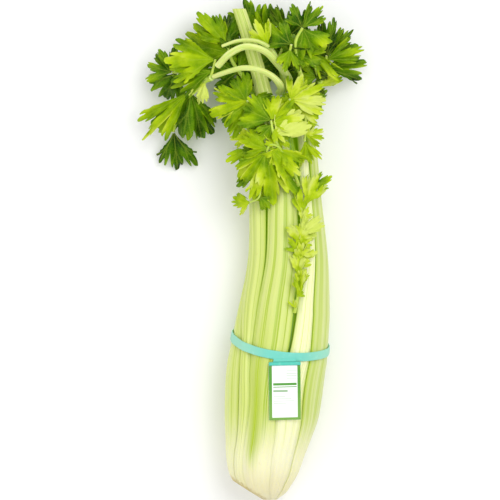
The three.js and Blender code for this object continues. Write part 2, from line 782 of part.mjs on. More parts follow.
    leaflets: [
      [0, 0.5, -64, 4, 0, 32, 42, 14],
      [0, 0.7, 28, 6, 0, 28, 42, 14],
      [0, 1, -50, 2, 0, 30, 42, 14],
      [0, 1, 6, 10, 0, 34, 40, 14],
    ],
  },
  {
    name: "leaves_low_right",
    colour: colours.deepLeaf,
    stems: [{ path: [[3, 163.4, 9.6], [12, 184, 9.5], [20, 212, 8]], from: 2.1, to: 1.1 }],
    leaflets: [
      [0, 0.5, 58, 4, 0, 26, 42, 14],
      [0, 0.72, -30, 6, 0, 26, 42, 14],
      [0, 1, 44, 2, 0, 28, 42, 14],
      [0, 1, -14, 10, 0, 33, 40, 14],
    ],
  },
];

function spraySolid(spray) {
  const stems = spray.stems.map((stem) => ({ ...thinStem, ...stem }));
  const curves = stems.map(stemCurve);
  const blades = spray.leaflets.map(([stem, share, heading, pitch, roll, length, spread, curl]) =>
    blade({ base: curves[stem].getPointAt(share), heading, pitch, roll, length, spread, curl }),
  );
  return mainBody(wasm.Manifold.union([...stems.map(stemSolid), ...blades]));
}

function meshOf(name, solid, colour, roughness = 0.55) {
  const { numProp, vertProperties, triVerts } = solid.getMesh();
  const positions = new Float32Array((vertProperties.length / numProp) * 3);
  for (let i = 0; i < positions.length / 3; i += 1) {
    positions.set(vertProperties.subarray(i * numProp, i * numProp + 3), 3 * i);
  }
  const geometry = new THREE.BufferGeometry();
  geometry.setAttribute("position", new THREE.BufferAttribute(positions, 3));
  geometry.setIndex(new THREE.BufferAttribute(new Uint32Array(triVerts), 1));
  const material = new THREE.MeshStandardMaterial({ color: colour, roughness, metalness: 0 });
  const mesh = new THREE.Mesh(geometry, material);
  mesh.name = name;
  return mesh;
}

const celery = new THREE.Group();
celery.add(meshOf("crown", crown(), colours.crown, 0.7));
outerStalks.forEach((spec) => celery.add(meshOf(spec.name, outerStalk(spec), colours.stalk)));
innerRings.forEach((ring) =>
  ring.tops.forEach((_, i) => {
    celery.add(meshOf(`${ring.name}_${i + 1}`, innerStalk(ring, i), colours.inner));
  }),
);
sprays.forEach((spray) => celery.add(meshOf(spray.name, spraySolid(spray), spray.colour, 0.5)));
celery.add(meshOf("band", bandWithTab(), colours.band, 0.4));
celery.add(meshOf("tag", plate(tag.width, tag.height, tag.thickness, tag.height / 2, 0), colours.tag, 0.35));

export default celery;
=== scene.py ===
import math
import random

import bmesh
import bpy
from mathutils import Matrix, Vector, noise


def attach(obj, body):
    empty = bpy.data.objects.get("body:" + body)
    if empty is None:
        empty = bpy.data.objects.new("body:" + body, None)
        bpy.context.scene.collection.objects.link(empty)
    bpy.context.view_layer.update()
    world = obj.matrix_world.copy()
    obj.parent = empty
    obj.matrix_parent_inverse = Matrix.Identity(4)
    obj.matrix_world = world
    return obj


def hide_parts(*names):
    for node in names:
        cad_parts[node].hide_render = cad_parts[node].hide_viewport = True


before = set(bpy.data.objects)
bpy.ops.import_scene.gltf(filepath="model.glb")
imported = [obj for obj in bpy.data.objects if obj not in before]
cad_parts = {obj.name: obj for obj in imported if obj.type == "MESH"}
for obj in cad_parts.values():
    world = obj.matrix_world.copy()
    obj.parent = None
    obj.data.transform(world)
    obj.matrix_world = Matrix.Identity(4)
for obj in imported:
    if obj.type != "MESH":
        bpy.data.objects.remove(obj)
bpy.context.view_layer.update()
mm = 0.001
print("frame loaded:", len(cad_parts), "nodes")


# Camera: straight above the head, far off with a long lens. At the height scaleAt, 0.9 mm of the head go to a
# pixel of the photo.
camera = {
    "middleX": -27, "middleY": 54, "width": 450, "scaleAt": 45, "lens": 600, "sensor": 36,
    "nearest": 0.05, "furthest": 40,
}


def addObject(name, data):
    made = bpy.data.objects.new(name, data)
    bpy.context.scene.collection.objects.link(made)
    return made


def placeCamera():
    data = bpy.data.cameras.new("camera")
    data.lens = camera["lens"]
    data.sensor_width = camera["sensor"]
    data.clip_start = camera["nearest"]
    data.clip_end = camera["furthest"]
    distance = camera["width"] * camera["lens"] / camera["sensor"]
    view = addObject("camera", data)
    view.location = Vector((camera["middleX"], camera["middleY"], camera["scaleAt"] + distance)) * mm
    bpy.context.scene.camera = view


placeCamera()


# Materials

def srgb(red, green, blue):
    def linear(value):
        value /= 255
        return value / 12.92 if value <= 0.04045 else ((value + 0.055) / 1.055) ** 2.4
    return linear(red), linear(green), linear(blue), 1


class Signal:
    def __init__(self, finish, socket):
        self.finish = finish
        self.socket = socket

    def __add__(self, other):
        return self.finish.maths("ADD", self, other)

    __radd__ = __add__

    def __sub__(self, other):
        return self.finish.maths("SUBTRACT", self, other)

    def __mul__(self, other):
        return self.finish.maths("MULTIPLY", self, other)

    def __abs__(self):
        return self.finish.maths("ABSOLUTE", self)


class Finish:
    def __init__(self, name, **constants):
        self.material = bpy.data.materials.new(name)
        self.material.use_nodes = True
        self.tree = self.material.node_tree
        self.shader = self.tree.nodes["Principled BSDF"]
        for socket, value in constants.items():
            self.set(socket.replace("_", " "), value)

    def feed(self, socket, value):
        if isinstance(value, Signal):
            self.tree.links.new(value.socket, socket)
        else:
            socket.default_value = value

    def set(self, socket, value):
        self.feed(self.shader.inputs[socket], value)

    def node(self, kind, inputs=None, output=0, **settings):
        made = self.tree.nodes.new("ShaderNode" + kind)
        for name, value in settings.items():
            setattr(made, name, value)
        for key, value in (inputs or {}).items():
            self.feed(made.inputs[key], value)
        return Signal(self, made.outputs[output])

    def ramp(self, value, stops):
        signal = self.node("ValToRGB", {0: value})
        ramp = signal.socket.node.color_ramp
        while len(ramp.elements) < len(stops):
            ramp.elements.new(0.5)
        for element, (place, colour) in zip(ramp.elements, stops):
            element.position = place
            element.color = srgb(*colour)
        return signal

    def maths(self, operation, *values):
        return self.node("Math", dict(enumerate(values)), operation=operation)

    def blend(self, share, first, second):
        return self.node("Mix", {0: share, 6: first, 7: second}, 2, data_type="RGBA")

    def step(self, value, start, end):
        return self.node("MapRange", {0: value, 1: start, 2: end}, interpolation_type="SMOOTHSTEP")

    def attribute(self, name):
        return self.node("Attribute", output="Fac", attribute_name=name)

    def place(self):
        return self.node("TexCoord", output="Object")

    def axis(self, name):
        return self.node("SeparateXYZ", {0: self.place()}, name)

    def joined(self, x, y, z=0.0):
        return self.node("CombineXYZ", {0: x, 1: y, 2: z})

    def noise(self, vector, scale, detail=2.0, roughness=0.5):
        inputs = {"Vector": vector, "Scale": scale, "Detail": detail, "Roughness": roughness}
        return self.node("TexNoise", inputs)

    def grain(self, scale, detail=2.0, roughness=0.5):
        return self.noise(self.place(), scale, detail, roughness)

    def cells(self, scale, feature="F1"):
        return self.node("TexVoronoi", {"Vector": self.place(), "Scale": scale}, feature=feature)

    def finished(self, colour, height, strength, distance, roughness=None):
        self.set("Base Color", colour)
        if roughness is not None:
            self.set("Roughness", roughness)
        self.set("Normal", self.node("Bump", {
            "Strength": strength, "Distance": distance, "Height": height}))
        return self.material


# Stalk skin: pale ridges and green furrows that run the length of a stalk, white at the foot. A tone holds
# their colours and how strong the lines are.
stalkTones = {
    "front": {"ridge": (212, 222, 130), "furrow": (160, 188, 8), "foot": (241, 238, 194), "lines": 0.85},
    "pale": {"ridge": (239, 241, 188), "furrow": (206, 220, 92), "foot": (241, 239, 200), "lines": 0.6},
    "side": {"ridge": (208, 217, 146), "furrow": (174, 197, 48), "foot": (236, 234, 188), "lines": 0.5},
    "left": {"ridge": (214, 224, 132), "furrow": (168, 192, 24), "foot": (236, 236, 184), "lines": 0.55},
    "inner": {"ridge": (158, 190, 30), "furrow": (92, 142, 0), "foot": (240, 240, 190), "lines": 0.8},
}
# Noise drawn out along a stalk: how fine it is across and lengthwise, its detail and its roughness
stalkNoise = {"wide": (2.1, 2.2, 2.0, 0.5), "lines": (8.0, 1.3, 2.0, 0.6), "fine": (26.0, 5.0, 3.0, 0.6)}
# Where one look of the skin passes into another, in metres: heights, and for the cut the way up from it
passes = {
    "foot": (-0.075, -0.128), "beige": (-0.122, -0.156), "flushFoot": (-0.138, -0.1),
    "flushTop": (0.02, -0.09), "paintedGlow": (-0.11, -0.05), "innerPaintedGlow": (-0.06, 0.02), "cut": (0.0072, 0.0032),
}
flush = {"across": -0.4, "edge": 0.72, "full": 0.04, "colour": srgb(168, 192, 6)}
paintedGlow = {"colour": srgb(118, 158, 0), "outer": 0.3, "inner": 0.22}  # painted glow: emission that stands in for the light the moist flesh passes on
buttCut = {"normal": Vector((0.533, 0.846, 0)), "offset": -152.6}  # the slanting cut across the butt


def stalkSkin(name, tone, patch=False, inner=False):
    # The emission strength is that of the painted glow set up below.
    skin = Finish(name, Roughness=0.36, Subsurface_Weight=0.3, Subsurface_Scale=0.006, Coat_Weight=0.06,
                  Emission_Strength=paintedGlow["inner" if inner else "outer"])
    skin.set("Subsurface Radius", (1.0, 0.95, 0.35))
    ridge, green, foot = (srgb(*tone[part]) for part in ("ridge", "furrow", "foot"))
    across = skin.attribute("across")
    seed = skin.attribute("seed")
    height = skin.axis("Y")
    wide, lines, fine = (
        skin.noise(skin.joined(across * sideways + seed, height * lengthwise, seed), 1.0, detail, roughness)
        for sideways, lengthwise, detail, roughness in stalkNoise.values()
    )
    streak = skin.step(lines + skin.attribute("furrow") * 0.16, 0.56, 0.66) * (0.5 + wide * 0.8)
    veil = skin.step(fine, 0.45, 0.75) * 0.12 + skin.step(wide, 0.4, 0.75) * 0.24
    body = skin.blend(streak * tone["lines"] + veil, ridge, green)
    # Painted shade: the skin turns furrow green towards both edges, down in the seams between stalks.
    edge = skin.step(abs(across), 0.84, 1.0)
    body = skin.blend(edge * 0.7, body, green)
    body = skin.blend(skin.step(height + fine * 0.02, *passes["foot"]), body, foot)
    if patch:  # a deeper green flush low on the broad front stalk
        near = skin.step(abs(across - flush["across"]), flush["edge"], flush["full"])
        low = skin.step(height + fine * 0.03, *passes["flushFoot"]) * skin.step(height, *passes["flushTop"])
        body = skin.blend(near * low * (0.74 + streak * 0.3 + veil * 1.4), body, flush["colour"])
    beige = skin.step(height + wide * 0.02, *passes["beige"])
    body = skin.blend(beige * 0.75, body, srgb(229, 219, 172))
    aboveCut = skin.axis("X") * buttCut["normal"].x + height * buttCut["normal"].y - buttCut["offset"] * mm
    grit = skin.grain(420.0, 4.0, 0.7) * 0.006
    body = skin.blend(skin.step(aboveCut + grit, *passes["cut"]) * 0.8, body, srgb(188, 168, 100))
    scar = skin.step(skin.grain(90.0, 4.0, 0.7), 0.66, 0.74)
    body = skin.blend(scar * 0.3, body, srgb(190, 170, 90))
    # Painted shade: the hollow inner faces, which show only down the shaded gaps between stalks, turn deep
    # green.
    inside = skin.attribute("inside") * 0.8
    body = skin.blend(inside, body, srgb(160, 194, 36))
    # Painted glow: emission on the hollow inner faces and seam edges of outer stalks, and on inner stalks
    # above their foot, stronger higher up.
    deep = skin.step(height, *passes["innerPaintedGlow"]) if inner else inside + edge * 0.2
    upper = skin.step(height, *passes["paintedGlow"]) * 0.8 + 0.2
    skin.set("Emission Color", skin.blend(deep * upper, (0, 0, 0, 1), paintedGlow["colour"]))
    return skin.finished(body, fine * 0.6 + skin.grain(900.0) * 0.25, 0.35, 0.0006, 0.3 + fine * 0.24)


def cutFlesh():
    flesh = Finish("cut_flesh", Roughness=0.5, Subsurface_Weight=0.15, Subsurface_Scale=0.004)
    cloud = flesh.grain(60.0, 4.0, 0.6)
    dots = flesh.cells(330.0)
    body = flesh.blend(cloud, srgb(238, 232, 188), srgb(214, 200, 138))
    body = flesh.blend(flesh.step(dots, 0.28, 0.12) * 0.6, body, srgb(168, 140, 70))
    return flesh.finished(body, cloud + dots * 0.5, 0.5, 0.0008)


def cutGreen():
    flesh = Finish("cut_stem", Roughness=0.4, Subsurface_Weight=0.2, Subsurface_Scale=0.004)
    cells = flesh.cells(800.0)
    body = flesh.blend(flesh.grain(160.0, 3.0), srgb(226, 238, 160), srgb(202, 220, 112))
    body = flesh.blend(flesh.step(cells, 0.4, 0.1) * 0.4, body, srgb(240, 245, 204))
    return flesh.finished(body, cells, 0.4, 0.0004)


# Leaf stems: pale green, with darker lines along them
def stemSkin(name, light, deep):
    skin = Finish(name, Roughness=0.38, Subsurface_Weight=0.12, Subsurface_Scale=0.003)
    across, length, seed = (skin.attribute(part) for part in ("across", "lengthwise", "seed"))
    lines = skin.noise(skin.joined(across * 9.0, length * 0.9, seed), 1.0, 3.0, 0.6)
    dark = skin.step(lines * 0.75 + skin.grain(45.0) * 0.3, 0.36, 0.72)
    return skin.finished(skin.blend(dark, light, deep), lines, 0.4, 0.0005, 0.32 + lines * 0.2)


# Leaf blades: colour by age, pale veins and a mottled face. The underside is lighter, duller and more veined.
leafAges = [
    (0.0, (14, 52, 0)), (0.2, (50, 94, 0)), (0.4, (92, 134, 0)), (0.6, (136, 170, 0)), (0.78, (172, 198, 10)),
    (0.9, (202, 219, 62)), (1.0, (208, 222, 106)),
]
leafSides = {
    "leaf_face": {
        "ageShare": 1.0, "ageShift": 0.0, "veins": 0.34, "veinColour": srgb(190, 212, 66), "roughness": 0.34},
    "leaf_underside": {
        "ageShare": 0.72, "ageShift": 0.3, "veins": 0.6, "veinColour": srgb(206, 222, 128), "roughness": 0.5},
}


def leafFace(name):
    side = leafSides[name]
    face = Finish(name, Roughness=0.42, Subsurface_Weight=0.04, Subsurface_Scale=0.002,
                  Specular_IOR_Level=0.07)
    face.set("Subsurface Radius", (0.8, 1.0, 0.2))
    vein = face.attribute("vein")
    mottle = face.grain(70.0, 3.0, 0.6)
    age = face.attribute("tone") + (mottle - 0.5) * 0.6 + (face.grain(28.0) - 0.5) * 0.7
    body = face.ramp(age * side["ageShare"] + side["ageShift"], leafAges)
    mesh = face.step(face.cells(420.0, "DISTANCE_TO_EDGE"), 0.09, 0.0)
    body = face.blend(vein * side["veins"] + mesh * 0.12, body, side["veinColour"])
    relief = vein * 1.2 + mesh * 0.4 + mottle * 0.5
    return face.finished(body, relief, 0.5, 0.0005, side["roughness"] + mottle * 0.2)


def bandRubber():
    rubber = Finish("band_rubber", Roughness=0.42)
    grain = rubber.grain(220.0, 3.0)
    lengthwise = rubber.attribute("lengthwise")
    stretch = rubber.noise(rubber.joined(rubber.attribute("across") * 6.0, lengthwise), 1.0)
    # Painted sheen: the band turns paler where it runs down the sides of the bundle.
    side = rubber.step(abs(rubber.axis("X") - 0.004), 0.008, 0.042)
    body = rubber.blend(side, srgb(108, 204, 187), srgb(150, 215, 188))
    body = rubber.blend(rubber.attribute("tab"), body, srgb(74, 196, 176))
    body = rubber.blend(rubber.step(grain, 0.55, 0.75) * 0.16, body, srgb(182, 240, 226))
    return rubber.finished(body, stretch * 0.6 + grain * 0.3, 0.35, 0.0004, 0.38 + grain * 0.2)


# The card: a white panel in a green edge, with plain rules
tag = {
    "width": 29, "height": 51.5, "thickness": 0.8, "x": 3.9, "top": -46.9, "slope": 2.8, "turn": 11,
    "spin": -1.2, "lift": -0.9, "edge": 2.9, "head": -1.0, "foot": 2.3, "soft": 0.12, "bow": (0.35, 0.125),
}
# A rule: left, right, top and bottom in millimetres from the middle of the card's top edge, and its ink
tagRules = [
    (1.4, 11.0, -7.0, -7.5, 0.5), (1.4, 11.0, -14.0, -14.5, 0.5), (1.4, 11.0, -9.4, -10.2, 0.42),
    (1.4, 11.0, -11.3, -12.1, 0.42), (-10.6, 10.9, -18.2, -20.4, 1.0), (-10.6, 10.9, -21.4, -22.2, 1.0),
    (-10.6, 2.6, -24.4, -26.4, 0.72), (-10.6, 0.6, -30.0, -30.8, 0.4), (-10.6, 6.0, -32.0, -32.8, 0.4),
    (-10.6, 8.4, -34.0, -34.8, 0.4), (-10.6, 1.6, -36.0, -36.8, 0.4),
]


def printedCard():
    card = Finish("printed_card", Roughness=0.3, Coat_Weight=0.25, Coat_Roughness=0.2)
    x = card.attribute("cardX")
    y = card.attribute("cardY")

    def between(value, low, high):
        soft = tag["soft"]
        return card.step(value, low - soft, low + soft) * card.step(value, high + soft, high - soft)

    def within(left, right, top, bottom):
        return between(x, left, right) * between(y, bottom, top)

    half = tag["width"] / 2 - tag["edge"]
    green = card.blend(card.step(y, -16.0, -44.0), srgb(76, 150, 24), srgb(114, 166, 62))
    # Painted highlight: a paler strip along the top of the green edge.
    green = card.blend(card.step(y, -6.0, -1.0) * 0.7, green, srgb(122, 172, 76))
    panel = within(-half, half, tag["head"], tag["foot"] - tag["height"])
    body = card.blend(panel, green, srgb(253, 254, 253))
    for left, right, top, bottom, ink in tagRules:
        body = card.blend(within(left, right, top, bottom) * ink, body, srgb(74, 150, 40))
    fibre = card.grain(700.0)
    return card.finished(body, fibre, 0.12, 0.0003, 0.26 + fibre * 0.12)


def plainCard():
    card = Finish("plain_card", Roughness=0.5)
    fibre = card.grain(500.0, 3.0)
    return card.finished(card.blend(fibre, srgb(246, 247, 243), srgb(236, 238, 232)), fibre, 0.15, 0.0003)


materials = {
    key: stalkSkin("stalk_" + key, tone, patch=key == "front", inner=key == "inner")
    for key, tone in stalkTones.items()
}
materials.update({
    "flesh": cutFlesh(), "cut": cutGreen(), "band": bandRubber(), "print": printedCard(), "card": plainCard(),
    "stem": stemSkin("leaf_stem", srgb(205, 224, 96), srgb(150, 186, 14)),
    "arch": stemSkin("arched_stem", srgb(224, 234, 150), srgb(190, 212, 84)),
    "leaf": leafFace("leaf_face"), "underside": leafFace("leaf_underside"),
    "paper": Finish("floor_paper", Roughness=0.9, Base_Color=srgb(250, 250, 250)).material,
})
print("materials:", len(materials))


# Shapes that the pieces share, in millimetres. The bundle's outside: height, centre x, half width, centre z,
# half depth.
envelopeRows = [
    (-171, -9, 6, 38, 6), (-165, -13.4, 19, 38.2, 16), (-158, -14.6, 25.6, 38.5, 22.4),
    (-148, -14.6, 31.8, 39, 28), (-131, -13.2, 36.6, 39.4, 33), (-117, -10.6, 39.6, 39.5, 36.4),
    (-99, -7.6, 43.4, 39.2, 39.4), (-81, -5.8, 45.2, 39.2, 40.9), (-60, -4, 46.1, 40.2, 41),
    (-45, -2, 46.1, 40.8, 39.8), (-30, 0.1, 44.9, 41.2, 39.2), (-13, 2.2, 43.8, 39.8, 38.3),
    (-3, 3.4, 43.1, 37.8, 39.2), (45, 6.9, 38, 34, 35.7), (99, 4.2, 34.6, 31.5, 32.4),
    (150, 2.6, 31, 31, 28), (190, -1, 25, 31, 25), (280, -4, 22, 32, 20),
]
# The seams between the outer stalks, in degrees about the bundle's centre line from straight up
seamRows = [
    (-171, -40, 12, 58, 108, 158, 204, 252, 284), (-117, -34, 8, 48, 98, 158, 204, 252, 308),
    (-81, -31, 3, 41, 95, 158, 203, 250, 310), (-36, -38, 11, 46, 98, 158, 203, 246, 303),
    (9, -41, 13, 46, 100, 158, 203, 240, 279), (54, -39, 17, 52, 104, 160, 202, 232, 268),
    (99, -36, 22, 57, 106, 160, 200, 226, 262),
]
# Degrees that stand open left of the broad front stalk, and between it and its right neighbour
gapRows = [
    (-171, 0.05, 0.05), (-70, 0.05, 0.2), (-34, 0.3, 4), (9, 1.5, 7), (54, 4, 10), (99, 6, 9),
]
bundleTop = 99


def clamp(value, low=0.0, high=1.0):
    return max(low, min(high, value))


def smooth(value, start, end):
    t = clamp((value - start) / (end - start))
    return t * t * (3 - 2 * t)


def along(rows, y):
    last = len(rows) - 1
    if y <= rows[0][0]:
        return rows[0][1:]
    if y >= rows[last][0]:
        return rows[last][1:]
    i = next(k for k, row in enumerate(rows) if row[0] > y) - 1
    before, start, end, after = (rows[k] for k in (max(i - 1, 0), i, i + 1, min(i + 2, last)))
    span = end[0] - start[0]
    t = (y - start[0]) / span
    values = []
    for c in range(1, len(start)):
        slopeStart = (end[c] - before[c]) / (end[0] - before[0]) * span
        slopeEnd = (after[c] - start[c]) / (after[0] - start[0]) * span
        rise = end[c] - start[c]
        bend = (slopeStart - rise) * (1 - t) - (slopeEnd - rise) * t
        values.append(start[c] + rise * t + t * (1 - t) * bend)
    return values


def ovalAt(y):
    return along(envelopeRows, y)


def bundlePoint(y, degrees, depth):
    x, halfWidth, z, halfDepth = ovalAt(y)
    angle = math.radians(degrees)
    return Vector((x + (halfWidth - depth) * math.sin(angle), y, z + (halfDepth - depth) * math.cos(angle)))


def spaced(start, end, count):
    return [start + (end - start) * i / count for i in range(count)]


def gridOf(bm, across, lengthwise):
    made = bmesh.ops.create_grid(bm, x_segments=across, y_segments=lengthwise, size=1)
    spots = []
    for vert in made["verts"]:
        column = round((vert.co.x + 1) / 2 * across)
        row = round((vert.co.y + 1) / 2 * lengthwise)
        spots.append((vert, column, row))
    return spots


def layersOf(bm, *names):
    found = bm.verts.layers.float
    return {name: found.get(name) or found.new(name) for name in names}


def mark(vert, layers, **values):
    for name, value in values.items():
        vert[layers[name]] = value


def unevenness(x, y, z):
    return noise.noise(Vector((x, y, z)))


def turned(degrees, axis):
    return Matrix.Rotation(math.radians(degrees), 4, axis)


def mergeSeams(bm):
    bmesh.ops.remove_doubles(bm, verts=bm.verts[:], dist=1e-7)


def cutAtButt(bm, clear=0.0):
    mergeSeams(bm)
    normal = buttCut["normal"]
    planeAt = normal * (buttCut["offset"] + clear) * mm / normal.length_squared
    everything = bm.verts[:] + bm.edges[:] + bm.faces[:]
    bmesh.ops.bisect_plane(bm, geom=everything, dist=1e-6, plane_co=planeAt, plane_no=normal,
                           clear_inner=True)


def closeTube(bm, cutIndex=0, inset=0.0, depth=0.0):
    mergeSeams(bm)
    openEdges = [edge for edge in bm.edges if edge.is_boundary]
    caps = bmesh.ops.holes_fill(bm, edges=openEdges, sides=0)["faces"]
    for cap in caps:
        cap.material_index = cutIndex
    bmesh.ops.recalc_face_normals(bm, faces=bm.faces[:])
    if inset:
        ring = bmesh.ops.inset_individual(bm, faces=caps, thickness=inset * mm, depth=depth * mm)["faces"]
        for face in ring:
            face.material_index = cutIndex


def smoothShading(bm, limit):
    for face in bm.faces:
        face.smooth = True
    for edge in bm.edges:
        if len(edge.link_faces) == 2:
            edge.smooth = edge.calc_face_angle(0) < math.radians(limit)


def meshOf(bm, name, finishes):
    mesh = bpy.data.meshes.new(name)
    bm.to_mesh(mesh)
    bm.free()
    for finish in finishes:
        mesh.materials.append(materials[finish])
    return mesh


def pieceOf(bm, name, finishes, node, limit=40):
    if limit:
        smoothShading(bm, limit)
    piece = addObject(name, meshOf(bm, name, finishes))
    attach(piece, "root")
    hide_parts(node)
    return piece


# Stalks. The outer ones stand in the order of their seams. Drop is how far one lies inside the bundle's
# outside; lean, sideways and up, and taper act above the bundle.
outerStalks = [
    {"name": "stalk_front_broad", "drop": 0.6, "top": 271, "lean": (-32, 3), "taper": 0.74, "tone": "front",
     "cutTop": True},
    {"name": "stalk_front_right", "drop": 2.4, "top": 176, "lean": (0, -3), "taper": 0.6, "tone": "pale"},
    {"name": "stalk_right", "drop": 0.9, "top": 188, "lean": (-1, 7), "taper": 0.5, "tone": "side"},
    {"name": "stalk_low_right", "drop": 1.1, "top": 172, "lean": (2, -1), "taper": 0.55, "tone": "side"},
    {"name": "stalk_low", "drop": 0, "top": 162, "lean": (0, 3), "taper": 0.6, "tone": "side",
     "restsFlat": True},
    {"name": "stalk_low_left", "drop": 1.1, "top": 168, "lean": (-2, 1), "taper": 0.6, "tone": "left"},
    {"name": "stalk_left_short", "drop": 1, "top": 150, "lean": (1, 0), "taper": 0.6, "tone": "left"},
    {"name": "stalk_left", "drop": 1.6, "top": 166, "lean": (1, 3), "taper": 0.62, "tone": "left"},
]
innerRings = [
    {"name": "stalk_inner", "edges": [-62, 0, 55, 115, 180, 240, 298], "depth": 12, "thickness": 6.5,
     "tops": [186, 192, 206, 196, 176, 184], "leans": [(-6, 2), (-5, 8), (0, 7), (2, -2), (-4, -3), (-8, 0)]},
    {"name": "stalk_core", "edges": [-25, 65, 155, 245, 335], "depth": 20.5, "thickness": 5,
     "tops": [168, 196, 178, 150], "leans": [(-3, 2), (2, 1), (0, 0), (0, 0)]},
    {"name": "stalk_heart", "edges": [20, 200, 380], "depth": 27, "thickness": 4.2, "tops": [142, 128],
     "leans": [(0, 0), (0, 0)]},
]
ribs = {
    "narrow": 1.6, "sway": 0.02, "swayLengthwise": 0.02, "fine": 0.2, "fineAcross": 13,
    "fineLengthwise": 0.006, "resting": 0.3, "calmEdge": 6, "waveTone": 0.5, "fineTone": 0.9,
}
outerFace = {"groove": 0.5, "bulge": 3.9, "edgePower": 2.4}
restingFace = {"groove": 0, "bulge": 3.4, "edgePower": 4}
innerFace = {"groove": 0.4, "bulge": 1.8, "edgePower": 3, "taper": 0.6}
stalkShape = {
    "thickest": 9, "thinnestEdge": 1.6, "hollow": 0.36, "backShare": 0.98, "fullSize": 24, "knuckle": 9,
    "smallestTip": 0.12, "thinnerUp": 2, "thinnerFrom": -20, "thinnerTop": 0.35, "leanPower": 1.7,
    "innerGap": 1.5, "closedSeam": 0.05,
}
# Lowest rows of a stalk: where they start, how far they reach and how many they are
footRows = {"outer": (-171, 30, 14), "inner": (-124, 14, 4)}
closedFoot = {"share": 0.4, "from": -140, "to": -30}  # at the foot the stalks close up to a smooth butt


def bulgeAt(y, most):
    share = closedFoot["share"]
    return most * (share + (1 - share) * smooth(y, closedFoot["from"], closedFoot["to"]))


def stalkThickness(y, most):
    x, halfWidth, z, halfDepth = ovalAt(y)
    thinned = most - stalkShape["thinnerUp"] * smooth(y, stalkShape["thinnerFrom"], bundleTop)
    return min(thinned, 0.5 * min(halfWidth, halfDepth))


def seamsAt(y):
    angles = list(along(seamRows, y))
    return angles + [angles[0] + 360]


def stalkRows(top, foot, knuckle):
    start, reach, count = footRows[foot]
    rows = spaced(start, start + reach, count)
    rows += spaced(rows[-1] + 2, bundleTop, 44)
    if knuckle:
        end = top - stalkShape["knuckle"]
        rows += spaced(bundleTop, end, max(4, round((end - bundleTop) / 7)))
        return rows + [top - stalkShape["knuckle"] * (1 - math.sin(math.pi / 2 * i / 7)) for i in range(8)]
    return rows + spaced(bundleTop, top, max(6, round((top - bundleTop) / 7))) + [top]


def placeAround(column, outerCount, backCount):
    if column <= outerCount:
        return 2 * column / outerCount - 1, False
    if column > outerCount + backCount + 1:
        return -1, False
    return (1 - 2 * (column - outerCount - 1) / backCount) * stalkShape["backShare"], True


def ribsAt(stalk, s, y):
    seed = stalk["seed"]
    sway = ribs["sway"] * math.sin(y * ribs["swayLengthwise"] + seed)
    wave = (0.5 - 0.5 * math.cos(4 * math.pi * (s + sway))) ** ribs["narrow"]
    streak = unevenness(s * ribs["fineAcross"] + 7 * seed, y * ribs["fineLengthwise"], seed)
    calm = (1 - abs(s) ** ribs["calmEdge"]) * (ribs["resting"] if stalk.get("restsFlat") else 1)
    furrow = clamp(ribs["waveTone"] * wave + ribs["fineTone"] * max(streak, 0))
    return furrow, stalk["groove"] * wave + ribs["fine"] * streak * calm


def shapeStalk(stalk, foot, outerCount, backCount):
    knuckle = not stalk.get("cutTop")
    rows = stalkRows(stalk["top"], foot, knuckle)
    leanX, leanZ = stalk["lean"]
    bm = bmesh.new()
    layers = layersOf(bm, "across", "seed", "inside", "furrow")
    byRow = {}
    for vert, column, row in gridOf(bm, outerCount + backCount + 2, len(rows) - 1):
        byRow.setdefault(row, []).append((vert, column))
    for row, verts in byRow.items():
        y = rows[row]
        free = clamp((y - bundleTop) / (stalk["top"] - bundleTop))
        start, end = stalk["edgesAt"](y)
        half = (end - start) / 2 * (1 - (1 - stalk["taper"]) * free)
        thick = stalkThickness(y, stalk["thickness"]) * (1 - stalkShape["thinnerTop"] * free)
        small = min(1, ovalAt(y)[3] / stalkShape["fullSize"])
        drop = stalk["drop"] * small
        shift = Vector((leanX, 0, leanZ)) * free ** stalkShape["leanPower"]
        shrink = 1.0
        if knuckle:
            closing = clamp((y - stalk["top"] + stalkShape["knuckle"]) / stalkShape["knuckle"])
            shrink = max(math.sqrt(1 - closing ** 2), stalkShape["smallestTip"])
        middleDepth = drop + thick / 2
        for vert, column in verts:
            s, inward = placeAround(column, outerCount, backCount)
            bulge = small * bulgeAt(y, stalk["bulge"]) * abs(s) ** stalk["edgePower"]
            furrow, relief = (0.0, 0.0) if inward else ribsAt(stalk, s, y)
            depth = drop + small * relief + bulge
            if inward:
                hollow = thick * (1 - stalkShape["hollow"] * s * s)
                depth = drop + max(hollow, bulge + small * stalkShape["thinnestEdge"])
            depth = middleDepth + (depth - middleDepth) * shrink
            point = bundlePoint(y, (start + end) / 2 + half * s * shrink, depth) + shift
            point.z = max(point.z, 0)
            vert.co = point * mm
            mark(vert, layers, across=s, seed=stalk["seed"], inside=float(inward), furrow=furrow)
    if foot == "outer":
        cutAtButt(bm)
    closeTube(bm, cutIndex=1 if foot == "outer" or not knuckle else 0)
    return bm


def outerStalk(seam, spec):
    def edgesAt(y):
        start, end = seamsAt(y)[seam:seam + 2]
        openBy = along(gapRows, y)[seam] if seam < 2 else stalkShape["closedSeam"]
        return start + openBy, end - stalkShape["closedSeam"]

    face = restingFace if spec.get("restsFlat") else outerFace
    stalk = dict(spec, **face, thickness=stalkShape["thickest"], edgesAt=edgesAt, seed=seam + 0.37)
    bm = shapeStalk(stalk, "outer", 56, 20)
    pieceOf(bm, spec["name"] + "_ribbed", [spec["tone"], "flesh"], spec["name"])


def innerStalk(ring, i):
    start, end = ring["edges"][i:i + 2]
    gap = stalkShape["innerGap"]
    stalk = {
        **innerFace, "top": ring["tops"][i], "lean": ring["leans"][i], "drop": ring["depth"],
        "thickness": ring["thickness"], "seed": ring["depth"] + 1.3 * i,
        "edgesAt": lambda y: (start + gap, end - gap),
    }
    name = f"{ring['name']}_{i + 1}"
    pieceOf(shapeStalk(stalk, "inner", 32, 12), name + "_ribbed", ["inner", "flesh"], name)


